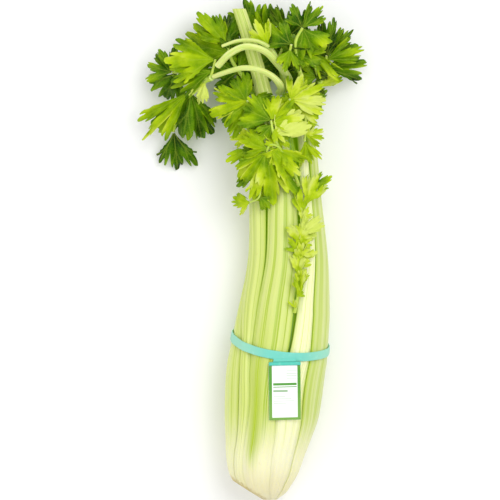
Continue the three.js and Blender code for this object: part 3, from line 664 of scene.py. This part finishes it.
for seam, spec in enumerate(outerStalks):
    outerStalk(seam, spec)
for ring in innerRings:
    for i in range(len(ring["tops"])):
        innerStalk(ring, i)
print("stalks done")


# The crown: the short stem in the butt that every stalk grows from. Its top rows: height, and how far they
# close in.
crown = {"sides": 48, "ripples": 7, "ripple": 0.25, "underStalks": 0.62, "clearOfCut": 0.3}
crownTop = [(-131, 0), (-128.6, 2.5), (-127.4, 5.5), (-127, 9)]


def buildCrown():
    rows = [(y, 0) for y in spaced(-170.7, -139, 16) + spaced(-139, -131, 4)] + crownTop
    bm = bmesh.new()
    for vert, column, row in gridOf(bm, crown["sides"], len(rows) - 1):
        y, closing = rows[row]
        depth = stalkThickness(y, stalkShape["thickest"]) * crown["underStalks"] + closing
        depth += crown["ripple"] * math.sin(2 * math.pi * crown["ripples"] * column / crown["sides"])
        vert.co = bundlePoint(y, 360 * column / crown["sides"], depth) * mm
    cutAtButt(bm, crown["clearOfCut"])
    closeTube(bm)
    pieceOf(bm, "crown_flesh", ["flesh"], "crown")


buildCrown()


# Leaf sprays. A stem: its radius at the foot and at the end, its path, and arched for a thick one over the
# front. A leaflet: stem, share of its length, heading, pitch, roll, length, half spread, curl, and tone, from
# 0 for a deep green blade to 1 for one that shows its pale side. Young blades between them: how many,
# shortest, longest, deepest and palest tone.
sprays = [
    {"name": "leaves_left", "slot": "leaf", "stems": [
        (2.1, 1.5, [(-61.6, 208.6, 58.4), (-70, 204, 50), (-81, 197, 42)]),
        (1.3, 1, [(-80.5, 197.3, 42.3), (-89, 183, 28), (-96, 161, 18)]),
        (1.5, 1, [(-64, 207.5, 56), (-80, 213, 46), (-97, 214, 36)]),
        (1.4, 1, [(-62.4, 208.5, 57.4), (-60, 217, 60), (-58, 225, 60)]),
    ], "leaflets": [
        (0, 1, 227, -2, 14, 56, 20, 26, 0.5), (0, 1, 192, -22, 0, 50, 40, 26, 0.36),
        (0, 1, 162, -8, -12, 46, 30, 30, 0.2), (1, 1, 174, -10, 0, 38, 36, 24, 0.14),
        (2, 1, 4, 2, 8, 25, 46, 22, 0.3), (2, 1, -74, -18, 0, 27, 38, 24, 0.3),
        (2, 0.9, 204, -34, 6, 35, 46, 22, 0.2), (3, 1, -90, -2, 10, 45, 36, 26, 0.52),
        (3, 0.4, -106, -8, -6, 44, 30, 30, 0.44), (0, 0.3, 206, 6, 10, 20, 36, 36, 0.9),
    ]},
    {"name": "leaves_top_left", "slot": "deep_leaf", "young": (5, 13, 20, 0.0, 0.3), "stems": [
        (2.6, 1.2, [(-19, 185.6, 33.5), (-30, 205, 38), (-43, 224, 41), (-48, 240, 41)]),
    ], "leaflets": [
        (0, 0.86, -76, -12, 0, 47, 44, 22, 0.34), (0, 1, -44, 8, -4, 32, 42, 24, 0.5),
        (0, 1, 2, -8, -10, 28, 44, 20, 0.3), (0, 0.55, -96, -2, 0, 32, 40, 24, 0.2),
        (0, 0.22, -98, -16, 0, 27, 42, 20, 0.25), (0, 0.6, 52, -8, 0, 26, 44, 20, 0.15),
        (0, 0.4, 14, -10, 0, 34, 40, 14, 0.15),
    ]},
    {"name": "leaves_top", "slot": "deep_leaf", "young": (7, 13, 20, 0.0, 0.28), "stems": [
        (2.4, 1.2, [(6.6, 197.4, 20), (-2, 222, 24), (-12, 238, 26), (-22, 250, 26)]),
        (1.5, 1.1, [(-2.6, 223, 24.2), (2, 236, 28), (6, 244, 32)]),
    ], "leaflets": [
        (0, 1, -18, 8, 0, 30, 50, 20, 0.32), (0, 0.86, -68, -8, 0, 28, 42, 20, 0.2),
        (0, 0.7, 4, 14, 0, 37, 40, 24, 0.4), (1, 1, -20, 24, 20, 34, 16, 40, 0.3),
        (1, 1, 14, 6, 0, 30, 46, 30, 0.26), (1, 1, 78, -8, 0, 28, 44, 24, 0.2),
        (0, 0.25, -34, -6, 0, 39, 42, 14, 0.15), (0, 0.25, 28, 4, 0, 39, 42, 14, 0.15),
    ]},
    {"name": "leaves_top_right", "slot": "leaf", "young": (7, 12, 19, 0.05, 0.5), "stems": [
        (2.4, 1.2, [(20.5, 189.4, 44), (20, 204, 50), (16, 223, 61), (14, 241, 72), (20, 253, 73)]),
        (1.5, 1.1, [(16, 222, 60.4), (9, 230, 69), (10, 238, 75)]),
    ], "leaflets": [
        (0, 1, 152, -4, -6, 31, 48, 44, 0.42), (0, 1, -22, -16, 0, 24, 48, 20, 0.26),
        (0, 1, 44, 2, 10, 25, 34, 24, 0.5), (1, 1, -54, 0, -6, 29, 46, 44, 0.3),
        (1, 0.8, -168, 8, 0, 20, 44, 10, 0.6), (0, 0.6, 72, -14, 0, 27, 44, 24, 0.3),
    ]},
    {"name": "leaves_right", "slot": "deep_leaf", "young": (7, 12, 18, 0.0, 0.3), "stems": [
        (2.4, 1.2, [(22.4, 173.4, 14.5), (31, 192, 24), (39, 212, 32), (42, 229, 36)]),
        (1.4, 1, [(35.8, 204, 28.6), (32, 218, 38), (27, 236, 44)]),
    ], "leaflets": [
        (0, 1, 12, 10, 16, 33, 34, 20, 0.04), (0, 1, 46, -4, 0, 31, 28, 18, 0.08),
        (0, 0.94, 70, 10, 6, 33, 28, 20, 0.4), (0, 0.8, 78, -10, 0, 41, 30, 20, 0.26),
        (1, 0.2, -84, 6, 0, 20, 44, 20, 0.5), (1, 1, 142, -6, 30, 36, 20, 24, 0.45),
        (0, 0.55, -150, 16, 0, 30, 36, 24, 0.5), (0, 0.5, 40, 4, 10, 28, 36, 20, 0.8),
        (1, 0.9, 18, -14, 0, 26, 42, 20, 0.14), (0, 0.2, 16, -14, 0, 24, 40, 14, 0.3),
    ]},
    {"name": "leaves_front_left", "slot": "leaf", "young": (9, 11, 18, 0.25, 0.6), "stems": [
        (2, 1.2, [(-24.4, 168, 44), (-30, 178, 54), (-29, 188, 62)]),
        (1.4, 1, [(-26.4, 171, 48), (-29, 164, 58), (-25, 152, 63), (-20, 131, 63)]),
        (1, 0.8, [(-20, 133, 63), (-17, 114, 64), (-19, 101, 63), (-27, 97, 56)]),
    ], "leaflets": [
        (0, 1, -112, -12, 4, 38, 40, 24, 0.58), (0, 0.96, 200, 4, 0, 35, 38, 34, 0.5),
        (0, 1, 100, 14, -6, 29, 38, 50, 0.5), (0, 0.9, -30, -4, 6, 29, 44, 30, 0.45),
        (0, 1, 146, 10, 0, 30, 38, 34, 0.5), (1, 0.5, -84, -20, 8, 20, 46, 20, 0.86),
        (1, 0.64, 206, 0, 4, 32, 48, 26, 0.62), (1, 1, 188, -6, 0, 29, 44, 20, 0.56),
        (2, 1, -102, -24, 0, 18, 50, 20, 0.74),
    ]},
    {"name": "leaves_front", "slot": "pale_leaf", "young": (8, 12, 19, 0.42, 0.82), "stems": [
        (1.3, 1.2, [(16.6, 112, 57.3), (13, 122, 65), (5, 137, 73), (-2, 147, 78), (-9, 148, 79),
                    (-12, 142, 78)]),
        (1.4, 1, [(-1.6, 146.4, 76.4), (-6, 158, 78), (-8, 170, 79)]),
    ], "leaflets": [
        (0, 1, 172, -10, 0, 48, 34, 18, 0.68), (0, 0.92, 130, 0, -10, 37, 30, 30, 0.6),
        (0, 0.98, 218, -2, 8, 34, 32, 28, 0.62), (0, 0.96, -72, -12, 0, 28, 44, 26, 0.6),
        (1, 0.4, 44, -2, -4, 33, 42, 30, 0.84), (1, 1, 16, -10, 0, 27, 44, 34, 0.7),
        (1, 1, -66, 2, 0, 30, 42, 40, 0.5), (1, 0.9, 78, -8, 0, 31, 44, 30, 0.6),
    ]},
    {"name": "leaves_front_right", "slot": "pale_leaf", "young": (8, 10, 17, 0.45, 0.95), "stems": [
        (2, 1.3, [(18, 178, 46.5), (16, 184, 56), (8.5, 189, 65)]),
        (1.3, 1, [(17, 180.4, 50.6), (22, 176, 60), (23, 164, 64), (22, 152, 64)]),
    ], "leaflets": [
        (0, 1, 92, 6, 8, 33, 34, 30, 0.92), (0, 1, 28, -8, 0, 25, 40, 24, 0.8),
        (0, 0.9, 152, -6, 0, 30, 42, 30, 0.74), (1, 1, 164, -6, 6, 23, 36, 20, 0.7),
        (1, 0.85, 100, -18, 0, 18, 38, 14, 0.78), (0, 0.7, 60, -12, 0, 25, 40, 20, 0.7),
    ]},
    {"name": "leaves_heart", "slot": "pale_leaf", "crinkle": 1.7, "stems": [
        (1.2, 0.9, [(12.9, -2, 71.7), (15.2, 8, 76.2), (17.5, 34, 71.5), (18.5, 62, 67.8), (19, 86, 63.8)]),
        (0.9, 0.8, [(19, 85, 64), (25, 98, 60.5), (30, 109, 55)]),
    ], "leaflets": [
        (0, 0.14, 10, 14, 30, 27, 18, 20, 0.74), (0, 0.3, 30, 20, 20, 14, 44, 30, 0.9),
        (0, 0.42, -8, 20, -30, 16, 42, 30, 0.82), (0, 0.52, 34, 16, 20, 18, 42, 40, 0.88),
        (0, 0.62, -40, 14, 10, 15, 44, 30, 0.74), (0, 0.7, -6, 14, 20, 20, 40, 40, 0.84),
        (0, 0.8, 44, 14, 0, 21, 38, 30, 0.9), (0, 1, -4, 10, -10, 20, 32, 20, 0.66),
        (1, 0.4, 22, 0, -4, 28, 34, 20, 0.94), (1, 1, 56, -14, 10, 18, 42, 20, 0.7),
    ], "ruffles": [  # small crinkled blades between those leaflets: share, heading, length, tone
        (0.05, -24, 9, 0.86), (0.17, 40, 8, 0.74), (0.25, -20, 9, 0.86), (0.33, 54, 8, 0.66),
        (0.38, 10, 10, 0.92), (0.47, 48, 10, 0.72), (0.56, -32, 8, 0.66), (0.6, 60, 11, 0.92),
        (0.68, 46, 12, 0.78), (0.76, 72, 12, 0.94), (0.86, 60, 13, 0.84), (0.94, 30, 14, 0.92),
    ]},
    {"name": "leaf_arched_cut", "slot": "inner_stalk", "stems": [
        (3.6, 3.4, [(8, 207.5, 43), (5, 213, 54), (-3, 222, 66), (-12, 231, 76), (-21, 235, 80.5),
                    (-32, 236, 81), (-45, 230, 77), (-56, 219, 68)], "arched"),
        (2.4, 1.4, [(-2, 221, 64), (-8, 234, 69), (-22, 241.5, 73), (-38, 241.5, 71), (-52, 237, 66)]),
    ], "leaflets": [(1, 0.3, -26, 4, 0, 24, 36, 20, 0.76)]},
    {"name": "stem_arched_low", "slot": "inner_stalk", "stems": [
        (3.6, 2.3, [(-0.6, 195.5, 49), (1, 199.5, 58), (-2, 205, 68), (-9, 211, 76), (-21, 216, 80),
                    (-33, 217, 79), (-47, 214, 71), (-60, 209.5, 60.6)], "arched"),
    ], "leaflets": []},
    {"name": "leaves_low_left", "slot": "deep_leaf", "stems": [
        (2.1, 1.1, [(-13, 169.6, 9), (-22, 196, 9), (-32, 220, 8)]),
    ], "leaflets": [
        (0, 0.5, -64, 4, 0, 32, 42, 14, 0.2), (0, 0.7, 28, 6, 0, 28, 42, 14, 0.2),
        (0, 1, -50, 2, 0, 30, 42, 14, 0.24), (0, 1, 6, 10, 0, 34, 40, 14, 0.2),
    ]},
    {"name": "leaves_low_right", "slot": "deep_leaf", "stems": [
        (2.1, 1.1, [(3, 163.4, 9.6), (12, 184, 9.5), (20, 212, 8)]),
    ], "leaflets": [
        (0, 0.5, 58, 4, 0, 26, 42, 14, 0.2), (0, 0.72, -30, 6, 0, 26, 42, 14, 0.2),
        (0, 1, 44, 2, 0, 28, 42, 14, 0.24), (0, 1, -14, 10, 0, 33, 40, 14, 0.2),
    ]},
]


def curveThrough(points, samples=120):
    points = [Vector(p) for p in points]
    ends = [points[0] * 2 - points[1], *points, points[-1] * 2 - points[-2]]
    line = []
    for i in range(samples + 1):
        place = (len(points) - 1) * i / samples
        k = min(int(place), len(points) - 2)
        t = place - k
        a, b, c, d = ends[k:k + 4]
        gaps = [math.sqrt((q - p).length) for p, q in ((a, b), (b, c), (c, d))]
        slopeB = ((b - a) / gaps[0] - (c - a) / (gaps[0] + gaps[1]) + (c - b) / gaps[1]) * gaps[1]
        slopeC = ((c - b) / gaps[1] - (d - b) / (gaps[1] + gaps[2]) + (d - c) / gaps[2]) * gaps[1]
        square = (c - b) * 3 - slopeB * 2 - slopeC
        cube = (b - c) * 2 + slopeB + slopeC
        line.append(b + slopeB * t + square * t * t + cube * t ** 3)
    lengths = [0.0]
    for p, q in zip(line, line[1:]):
        lengths.append(lengths[-1] + (q - p).length)
    return line, lengths


def pointAt(curve, share):
    line, lengths = curve
    wanted = clamp(share) * lengths[-1]
    i = next((k for k in range(1, len(lengths)) if lengths[k] >= wanted), len(lengths) - 1)
    t = (wanted - lengths[i - 1]) / max(lengths[i] - lengths[i - 1], 1e-9)
    return line[i - 1].lerp(line[i], t)


def framesAlong(curve, steps):
    tangents = []
    for i in range(steps + 1):
        share = i / steps
        ahead = pointAt(curve, share + 0.002) - pointAt(curve, share - 0.002)
        tangents.append(ahead.normalized())
    least = min(range(3), key=lambda k: abs(tangents[0][k]))
    axis = Vector([1.0 if k == least else 0.0 for k in range(3)])
    normal = tangents[0].cross(tangents[0].cross(axis).normalized())
    frames = []
    for i, tangent in enumerate(tangents):
        if i:
            normal = tangents[i - 1].rotation_difference(tangent) @ normal
        frames.append((normal, tangent.cross(normal)))
    return frames


stemShapes = {
    "plain": {"sides": 14, "flat": 1, "swell": 0.35, "ribs": 5, "ribHeight": 0.05, "ribShift": 0},
    "arched": {"sides": 30, "flat": 0.75, "swell": 0, "ribs": 9, "ribHeight": 0.045, "ribShift": 1},
}
stemLook = {
    "step": 2.5, "wobble": 0.05, "wobbleLengthwise": 0.08, "swellTo": 0.2, "inset": 0.35, "cutDepth": 0.25,
}


def shapeStem(bm, stem, seed):
    footRadius, endRadius, path, *kind = stem
    shape = stemShapes[kind[0] if kind else "plain"]
    curve = curveThrough(path)
    length = curve[1][-1]
    steps = max(6, round(length / stemLook["step"]))
    frames = framesAlong(curve, steps)
    layers = layersOf(bm, "across", "lengthwise", "seed")
    for vert, column, row in gridOf(bm, shape["sides"], steps):
        share = row / steps
        turn = 2 * math.pi * column / shape["sides"]
        radius = footRadius + (endRadius - footRadius) * share
        radius *= 1 + shape["swell"] * smooth(share, stemLook["swellTo"], 0.0)
        radius *= 1 + shape["ribHeight"] * math.cos(shape["ribs"] * turn + shape["ribShift"] * seed)
        radius *= 1 + stemLook["wobble"] * unevenness(share * length * stemLook["wobbleLengthwise"], seed, 0)
        normal, binormal = frames[row]
        point = pointAt(curve, share) + normal * radius * math.cos(turn)
        vert.co = (point + binormal * radius * math.sin(turn) * shape["flat"]) * mm
        mark(vert, layers, across=math.cos(turn), lengthwise=share * length / 20, seed=seed)
    return curve


def buildStems(spray, seed):
    bm = bmesh.new()
    curves = [shapeStem(bm, stem, seed + 0.61 * i) for i, stem in enumerate(spray["stems"])]
    closeTube(bm, 1, stemLook["inset"], stemLook["cutDepth"])
    finish = "arch" if spray["slot"] == "inner_stalk" else "stem"
    pieceOf(bm, spray["name"] + "_stems", [finish, "cut"], spray["name"], 50)
    return curves


# The look of one leaflet: how deep it is cut into lobes and teeth, how its blade folds and waves, and the
# shade painted into its tone by its folds and towards its base
leafLook = {
    "long": 33, "lobeCut": 0.34, "notchWidth": 0.2, "tooth": 0.2, "smallTooth": 0.07, "sideTooth": 0.08,
    "narrowing": 0.2, "uneven": 0.26, "cup": -0.22, "lobeFold": 0.12, "wave": 0.11, "crumple": 4,
    "fineCrumple": 1.2, "veinHeight": 0.16, "thickness": 0.4, "start": 0.05, "foldShadeTone": 0.05,
    "mostFoldShade": 0.22, "baseShade": 0.14, "deeper": -0.1, "paler": 0.06,
}
leafGrids = [(33, (80, 20)), (24, (80, 14)), (16, (64, 14)), (0, (48, 10))]  # length above, columns and rows
clearOf = {"stalks": 1.6, "stalksUpTo": 150, "floor": 0.7}  # how far the blades keep off
ruffleLook = {"pitch": 20, "roll": 30, "spread": 48, "curl": 40}
youngLook = {"from": 0.35, "pitch": (-22, 14), "roll": (-40, 40), "spread": 46, "curl": 40}


def peak(f, step):
    return 1 - 2 * abs(f / step - round(f / step))


def plainReach(f):
    return 1 - leafLook["narrowing"] * f * f


def lobeReach(leaf, f):
    lobe = f / leaf["lobeStep"]
    notch = math.floor(lobe) + 0.5
    away = (lobe - notch) * leaf["lobeStep"]
    depth = leafLook["lobeCut"] * (1 + 1.4 * unevenness(notch * 3.7, leaf["seed"], 0.3))
    notched = 1 - depth * math.exp(-(away / (leafLook["notchWidth"] * leaf["lobeStep"])) ** 2)
    return plainReach(f) * notched * (1 + leafLook["uneven"] * unevenness(f * 1.9, leaf["seed"], 4.1))


def toothReach(leaf, f):
    moved = f + 0.05 * unevenness(f * 5, leaf["seed"], 8.2)
    size = 1 + 0.9 * unevenness(f * 4, leaf["seed"], 6.7)
    large = leafLook["tooth"] * size * (peak(moved, leaf["toothStep"]) - 0.5)
    return large + leafLook["smallTooth"] * (peak(moved + leaf["toothStep"] / 4, leaf["toothStep"] / 2) - 0.5)


def veinAt(leaf, f, share, across):
    lobe = round(f / leaf["lobeStep"]) * leaf["lobeStep"]
    strength = math.exp(-(abs(f - lobe) * across / 0.5) ** 2) * (1.15 - 0.7 * share)
    for k in range(-4, 5):
        tip = k * leaf["toothStep"]
        if 1e-6 < abs(tip - lobe) <= leaf["lobeStep"] * 0.6:
            line = lobe + (tip - lobe) * smooth(share, 0.3, 1.1)
            side = math.exp(-((f - line) * across / 0.4) ** 2) * smooth(share, 0.34, 0.5)
            strength = max(strength, 0.6 * side)
    return clamp(strength)


def bladePoint(leaf, f, share):
    lobe = f / leaf["lobeStep"] - round(f / leaf["lobeStep"])
    plain = plainReach(f) * (0.94 - 0.16 * lobe * lobe)
    toEdge = (lobeReach(leaf, f) - plain) * share ** 2.2
    reach = leaf["length"] * share * (plain + toEdge + toothReach(leaf, f) * share ** 5)
    sides = leafLook["sideTooth"] * f ** 8 * smooth(share, 0.4, 0.6) * (peak(share, 0.2) - 0.5)
    angle = math.radians(f * leaf["spread"] * (0.8 + 0.28 * smooth(share, 0, 0.7) + sides))
    x = reach * math.sin(angle)
    y = reach * math.cos(angle)
    vein = veinAt(leaf, f, share, math.radians(leaf["spread"]) * max(reach, 2))
    crinkle = leaf["crinkle"] * share
    z = leafLook["lobeFold"] * reach * math.sqrt(4 * lobe * lobe + 0.01)
    z += leafLook["cup"] * x * x / leaf["length"]
    z += leafLook["wave"] * leaf["length"] * share ** 2.5 * math.sin(leaf["waves"] * f + leaf["phase"])
    z += leafLook["crumple"] * crinkle * unevenness(x * 0.1, y * 0.1, leaf["seed"])
    z += leafLook["fineCrumple"] * crinkle * unevenness(x * 0.3, y * 0.3, leaf["seed"])
    # Painted shade and light: the height of the folds and crumples shifts the tone, darker in the hollows and
    # paler on the crests.
    relief = clamp(z * leafLook["foldShadeTone"], -leafLook["mostFoldShade"], leafLook["mostFoldShade"])
    z -= leafLook["veinHeight"] * vein * (1 - 0.5 * share)
    bend = math.radians(leaf["curl"])
    swing = bend * y / leaf["length"]
    radius = leaf["length"] / bend
    point = Vector((x, (radius + z) * math.sin(swing), (radius + z) * math.cos(swing) - radius))
    return point, vein, relief


def laidClear(p):
    if p.y < clearOf["stalksUpTo"]:
        x, halfWidth, z, halfDepth = ovalAt(p.y)
        off = clearOf["stalks"]
        out = math.hypot((p.x - x) / (halfWidth + off), (p.z - z) / (halfDepth + off))
        if 0.2 < out < 1:
            p.x = x + (p.x - x) / out
            p.z = z + (p.z - z) / out
    p.z = max(p.z, clearOf["floor"])
    return p


def shapeLeaflet(bm, row, base, draw, crinkle):
    stem, share, heading, pitch, roll, length, spread, curl, tone = row
    lobeStep = 0.75 if length > leafLook["long"] else 2 / 3
    leaf = {
        "length": length, "spread": spread, "curl": curl, "toothStep": lobeStep / 3, "lobeStep": lobeStep,
        "phase": draw.uniform(0, 6.28), "waves": draw.uniform(4, 8), "seed": draw.uniform(0, 50),
        "crinkle": crinkle,
    }
    place = Matrix.Translation(base) @ turned(-heading, "Z") @ turned(pitch, "X") @ turned(roll, "Y")
    columns, rows = next(grid for least, grid in leafGrids if length > least)
    layers = layersOf(bm, "tone", "vein")
    start = leafLook["start"]
    tone += draw.uniform(leafLook["deeper"], leafLook["paler"])
    for vert, column, line in gridOf(bm, columns, rows):
        out = start + (1 - start) * line / rows
        point, vein, relief = bladePoint(leaf, 2 * column / columns - 1, out)
        vert.co = laidClear(place @ point) * mm
        # Painted shade: the tone drops towards the leaflet's base and rises towards its tip; relief adds the
        # painted fold shade.
        mark(vert, layers, tone=tone + leafLook["baseShade"] * (out - 0.5) + relief, vein=vein)


def buildBlades(spray, curves, draw):
    bm = bmesh.new()
    rows = list(spray["leaflets"])
    for share, heading, length, tone in spray.get("ruffles", []):
        roll = draw.uniform(-ruffleLook["roll"], ruffleLook["roll"])
        rows.append((0, share, heading, ruffleLook["pitch"], roll, length, ruffleLook["spread"],
                     ruffleLook["curl"], tone))
    count, shortest, longest, deepest, palest = spray.get("young", (0, 0, 0, 0, 0))
    ranges = [(youngLook["from"], 1), (0, 360), youngLook["pitch"], youngLook["roll"], (shortest, longest),
              (deepest, palest)]
    for k in range(count):
        share, heading, pitch, roll, length, tone = (draw.uniform(*span) for span in ranges)
        rows.append((k % len(curves), share, heading, pitch, roll, length, youngLook["spread"],
                     youngLook["curl"], tone))
    for row in rows:
        shapeLeaflet(bm, row, pointAt(curves[row[0]], row[1]), draw, spray.get("crinkle", 1))
    for face in bm.faces:
        face.smooth = True
    for edge in bm.edges:
        edge.smooth = not edge.is_boundary
    piece = pieceOf(bm, spray["name"] + "_blades", ["leaf", "underside"], spray["name"], 0)
    wall = piece.modifiers.new("thickness", "SOLIDIFY")
    wall.thickness = leafLook["thickness"] * mm
    wall.offset = 0
    wall.material_offset = 1
    wall.material_offset_rim = 0


for number, spray in enumerate(sprays):
    draw = random.Random(41 + number)
    curves = buildStems(spray, number * 1.7)
    if spray["leaflets"]:
        buildBlades(spray, curves, draw)
print("leaf sprays done")


# The elastic band, a flat oblong in section, with the neck and the tab that clips the card
band = {
    "width": 7.6, "thickness": 1.2, "middle": -28.7, "dip": 13.3, "dipAt": 27, "offStalks": 0.7,
    "around": 200, "section": 20, "squareness": 0.42,
}
tab = {"height": 3.2, "above": 0.8}
neck = {"size": (20, 4.5, 1.2), "dive": -30, "flare": 1.2, "rise": -0.5}
joinGap = 0.4


def ridgePoints(y):
    x, halfWidth, z, halfDepth = ovalAt(y)
    angles = seamsAt(y)
    points = []
    for seam, spec in enumerate(outerStalks):
        face = restingFace if spec.get("restsFlat") else outerFace
        left, right = angles[seam:seam + 2]
        for s in (-1, -0.5, 0, 0.5, 1):
            depth = spec["drop"] + bulgeAt(y, face["bulge"]) * abs(s) ** face["edgePower"]
            point = bundlePoint(y, (left + right) / 2 + (right - left) / 2 * s, depth)
            points.append(Vector((point.x - x, max(point.z, 0) - z)))
    return points


def loopReach(y, degrees):
    outside = bundlePoint(y, degrees, 0)
    x, halfWidth, z, halfDepth = ovalAt(y)
    ray = Vector((outside.x - x, outside.z - z)).normalized()
    ridges = ridgePoints(y)
    middle = band["offStalks"] + band["thickness"] / 2
    reach = halfWidth * 2
    for k in range(-12, 13):
        pull = Matrix.Rotation(math.radians(5 * k), 2) @ ray
        furthest = max(point.dot(pull) for point in ridges)
        reach = min(reach, (furthest + middle) / pull.dot(ray))
    return reach, ray


def tagPlacement(drop, rise):
    x, halfWidth, z, halfDepth = ovalAt(tag["top"])
    corner = Matrix.Translation((tag["x"], tag["top"], z + halfDepth + tag["lift"]))
    lie = turned(tag["turn"], "Y") @ turned(tag["slope"], "X") @ turned(-tag["spin"], "Z")
    return corner @ lie @ Matrix.Translation((0, -drop, rise))


def raisedSheet(bm, columns, rows, size, flare=0.0):
    width, height, thickness = size
    spots = gridOf(bm, columns, rows)
    for vert, column, row in spots:
        u, v = 2 * column / columns - 1, 2 * row / rows - 1
        half = width / 2 + flare * abs(v) ** 3
        vert.co = Vector((u * half, v * height / 2, -thickness / 2))
    verts = [vert for vert, column, row in spots]
    faces = list({face for vert in verts for face in vert.link_faces})
    raised = bmesh.ops.extrude_face_region(bm, geom=faces, use_keep_orig=True)["geom"]
    top = [part for part in raised if isinstance(part, bmesh.types.BMVert)]
    front = [part for part in raised if isinstance(part, bmesh.types.BMFace)]
    bmesh.ops.translate(bm, verts=top, vec=(0, 0, thickness))
    return verts + top, front


def roundRim(bm, edges, offset, segments):
    rim = [edge for edge in edges if len(edge.link_faces) == 2 and edge.calc_face_angle(0) > 1]
    bmesh.ops.bevel(bm, geom=rim, offset=offset, offset_type="OFFSET", segments=segments, profile=0.5,
                    affect="EDGES", material=-1)


def addPlate(bm, layers, size, place, flare, tabbed):
    before = set(bm.verts)
    made, front = raisedSheet(bm, 36, 14, size, flare)
    roundRim(bm, {edge for vert in made for edge in vert.link_edges}, min(0.4, size[2] * 0.35), 3)
    new = {vert for vert in bm.verts if vert not in before}
    for vert in new:
        mark(vert, layers, tab=tabbed, across=vert.co.y / size[1])
        vert.co = (place @ vert.co) * mm
    return [face for face in bm.faces if face.verts[0] in new]


def faceOutwards(bm, faces):
    if sum(face.calc_center_median().dot(face.normal) * face.calc_area() for face in faces) < 0:
        bmesh.ops.reverse_faces(bm, faces=faces)


def oblong(value):
    return math.copysign(abs(value) ** band["squareness"], value)


def buildBand():
    bm = bmesh.new()
    layers = layersOf(bm, "across", "lengthwise", "tab")
    half = band["width"] / 2
    byColumn = {}
    for vert, column, row in gridOf(bm, band["around"], band["section"]):
        byColumn.setdefault(column, []).append((vert, row))
    for column, verts in byColumn.items():
        degrees = 360 * column / band["around"]
        middle = band["middle"] - band["dip"] * math.cos(math.radians(degrees - band["dipAt"]))
        reaches = [loopReach(middle + half * side, degrees) for side in (-1, 0, 1)]
        ray = reaches[1][1]
        for vert, row in verts:
            turn = 2 * math.pi * row / band["section"]
            wide = oblong(math.cos(turn))
            high = oblong(math.sin(turn)) * band["thickness"] / 2
            shares = (wide * (wide - 1) / 2, 1 - wide * wide, wide * (wide + 1) / 2)
            reach = sum(share * got for share, (got, side) in zip(shares, reaches)) + high
            y = middle + half * wide
            x, halfWidth, z, halfDepth = ovalAt(y)
            up = max(z + reach * ray.y, band["thickness"] / 2 - high)
            vert.co = Vector((x + reach * ray.x, y, up)) * mm
            mark(vert, layers, across=wide, lengthwise=degrees / 14)
    mergeSeams(bm)
    rise = tag["thickness"] / 2 + joinGap + band["thickness"] / 2
    tabPlace = tagPlacement(tab["height"] / 2 - tab["above"], rise)
    neckPlace = tagPlacement(-joinGap - neck["size"][1] / 2, neck["rise"]) @ turned(neck["dive"], "X")
    plates = [
        addPlate(bm, layers, (tag["width"], tab["height"], band["thickness"]), tabPlace, 0, 1.0),
        addPlate(bm, layers, neck["size"], neckPlace, neck["flare"], 0.2),
    ]
    bmesh.ops.recalc_face_normals(bm, faces=bm.faces[:])
    for faces in plates:
        faceOutwards(bm, faces)
    pieceOf(bm, "band_elastic", ["band"], "band", 60)


def buildTag():
    bm = bmesh.new()
    layers = layersOf(bm, "cardX", "cardY")
    verts, front = raisedSheet(bm, 24, 40, (tag["width"], tag["height"], tag["thickness"]))
    for face in bm.faces:
        face.material_index = 1
    for face in front:
        face.material_index = 0
    place = tagPlacement(tag["height"] / 2, 0)
    sideways, lengthwise = tag["bow"]
    for vert in verts:
        mark(vert, layers, cardX=vert.co.x, cardY=vert.co.y - tag["height"] / 2)
        vert.co.z -= sideways * (vert.co.x / tag["width"] * 2) ** 2
        vert.co.z -= lengthwise * (vert.co.y / tag["height"] * 2 - 1) ** 2
        vert.co = (place @ vert.co) * mm
    bmesh.ops.recalc_face_normals(bm, faces=bm.faces[:])
    roundRim(bm, bm.edges, 0.12 * mm, 2)
    pieceOf(bm, "tag_card", ["print", "card"], "tag", 50)


buildBand()
buildTag()
print("band and tag done")


# Stage: a pale floor and soft light
stage = {"sky": 0.8, "floor": 3, "aim": Vector((0, 0.05, 0.03))}
lamps = {
    "key": {"at": Vector((0.5, 0.55, 1.56)), "power": 12.6, "size": 1.1},
    "fill": {"at": Vector((-1.1, -0.4, 1.2)), "power": 4, "size": 1.6},
}


def buildStage():
    bm = bmesh.new()
    bmesh.ops.create_grid(bm, x_segments=8, y_segments=8, size=stage["floor"])
    floor = addObject("floor", meshOf(bm, "floor", ["paper"]))
    world = bpy.data.worlds.new("studio")
    world.use_nodes = True
    backdrop = world.node_tree.nodes["Background"]
    backdrop.inputs["Color"].default_value = (1, 1, 1, 1)
    backdrop.inputs["Strength"].default_value = stage["sky"]
    bpy.context.scene.world = world
    for name, settings in lamps.items():
        data = bpy.data.lights.new(name, "AREA")
        data.energy = settings["power"]
        data.size = settings["size"]
        lamp = addObject(name, data)
        lamp.location = settings["at"]
        lamp.rotation_euler = (stage["aim"] - settings["at"]).to_track_quat("-Z", "Y").to_euler()
    bpy.context.scene.view_settings.view_transform = "Standard"


buildStage()
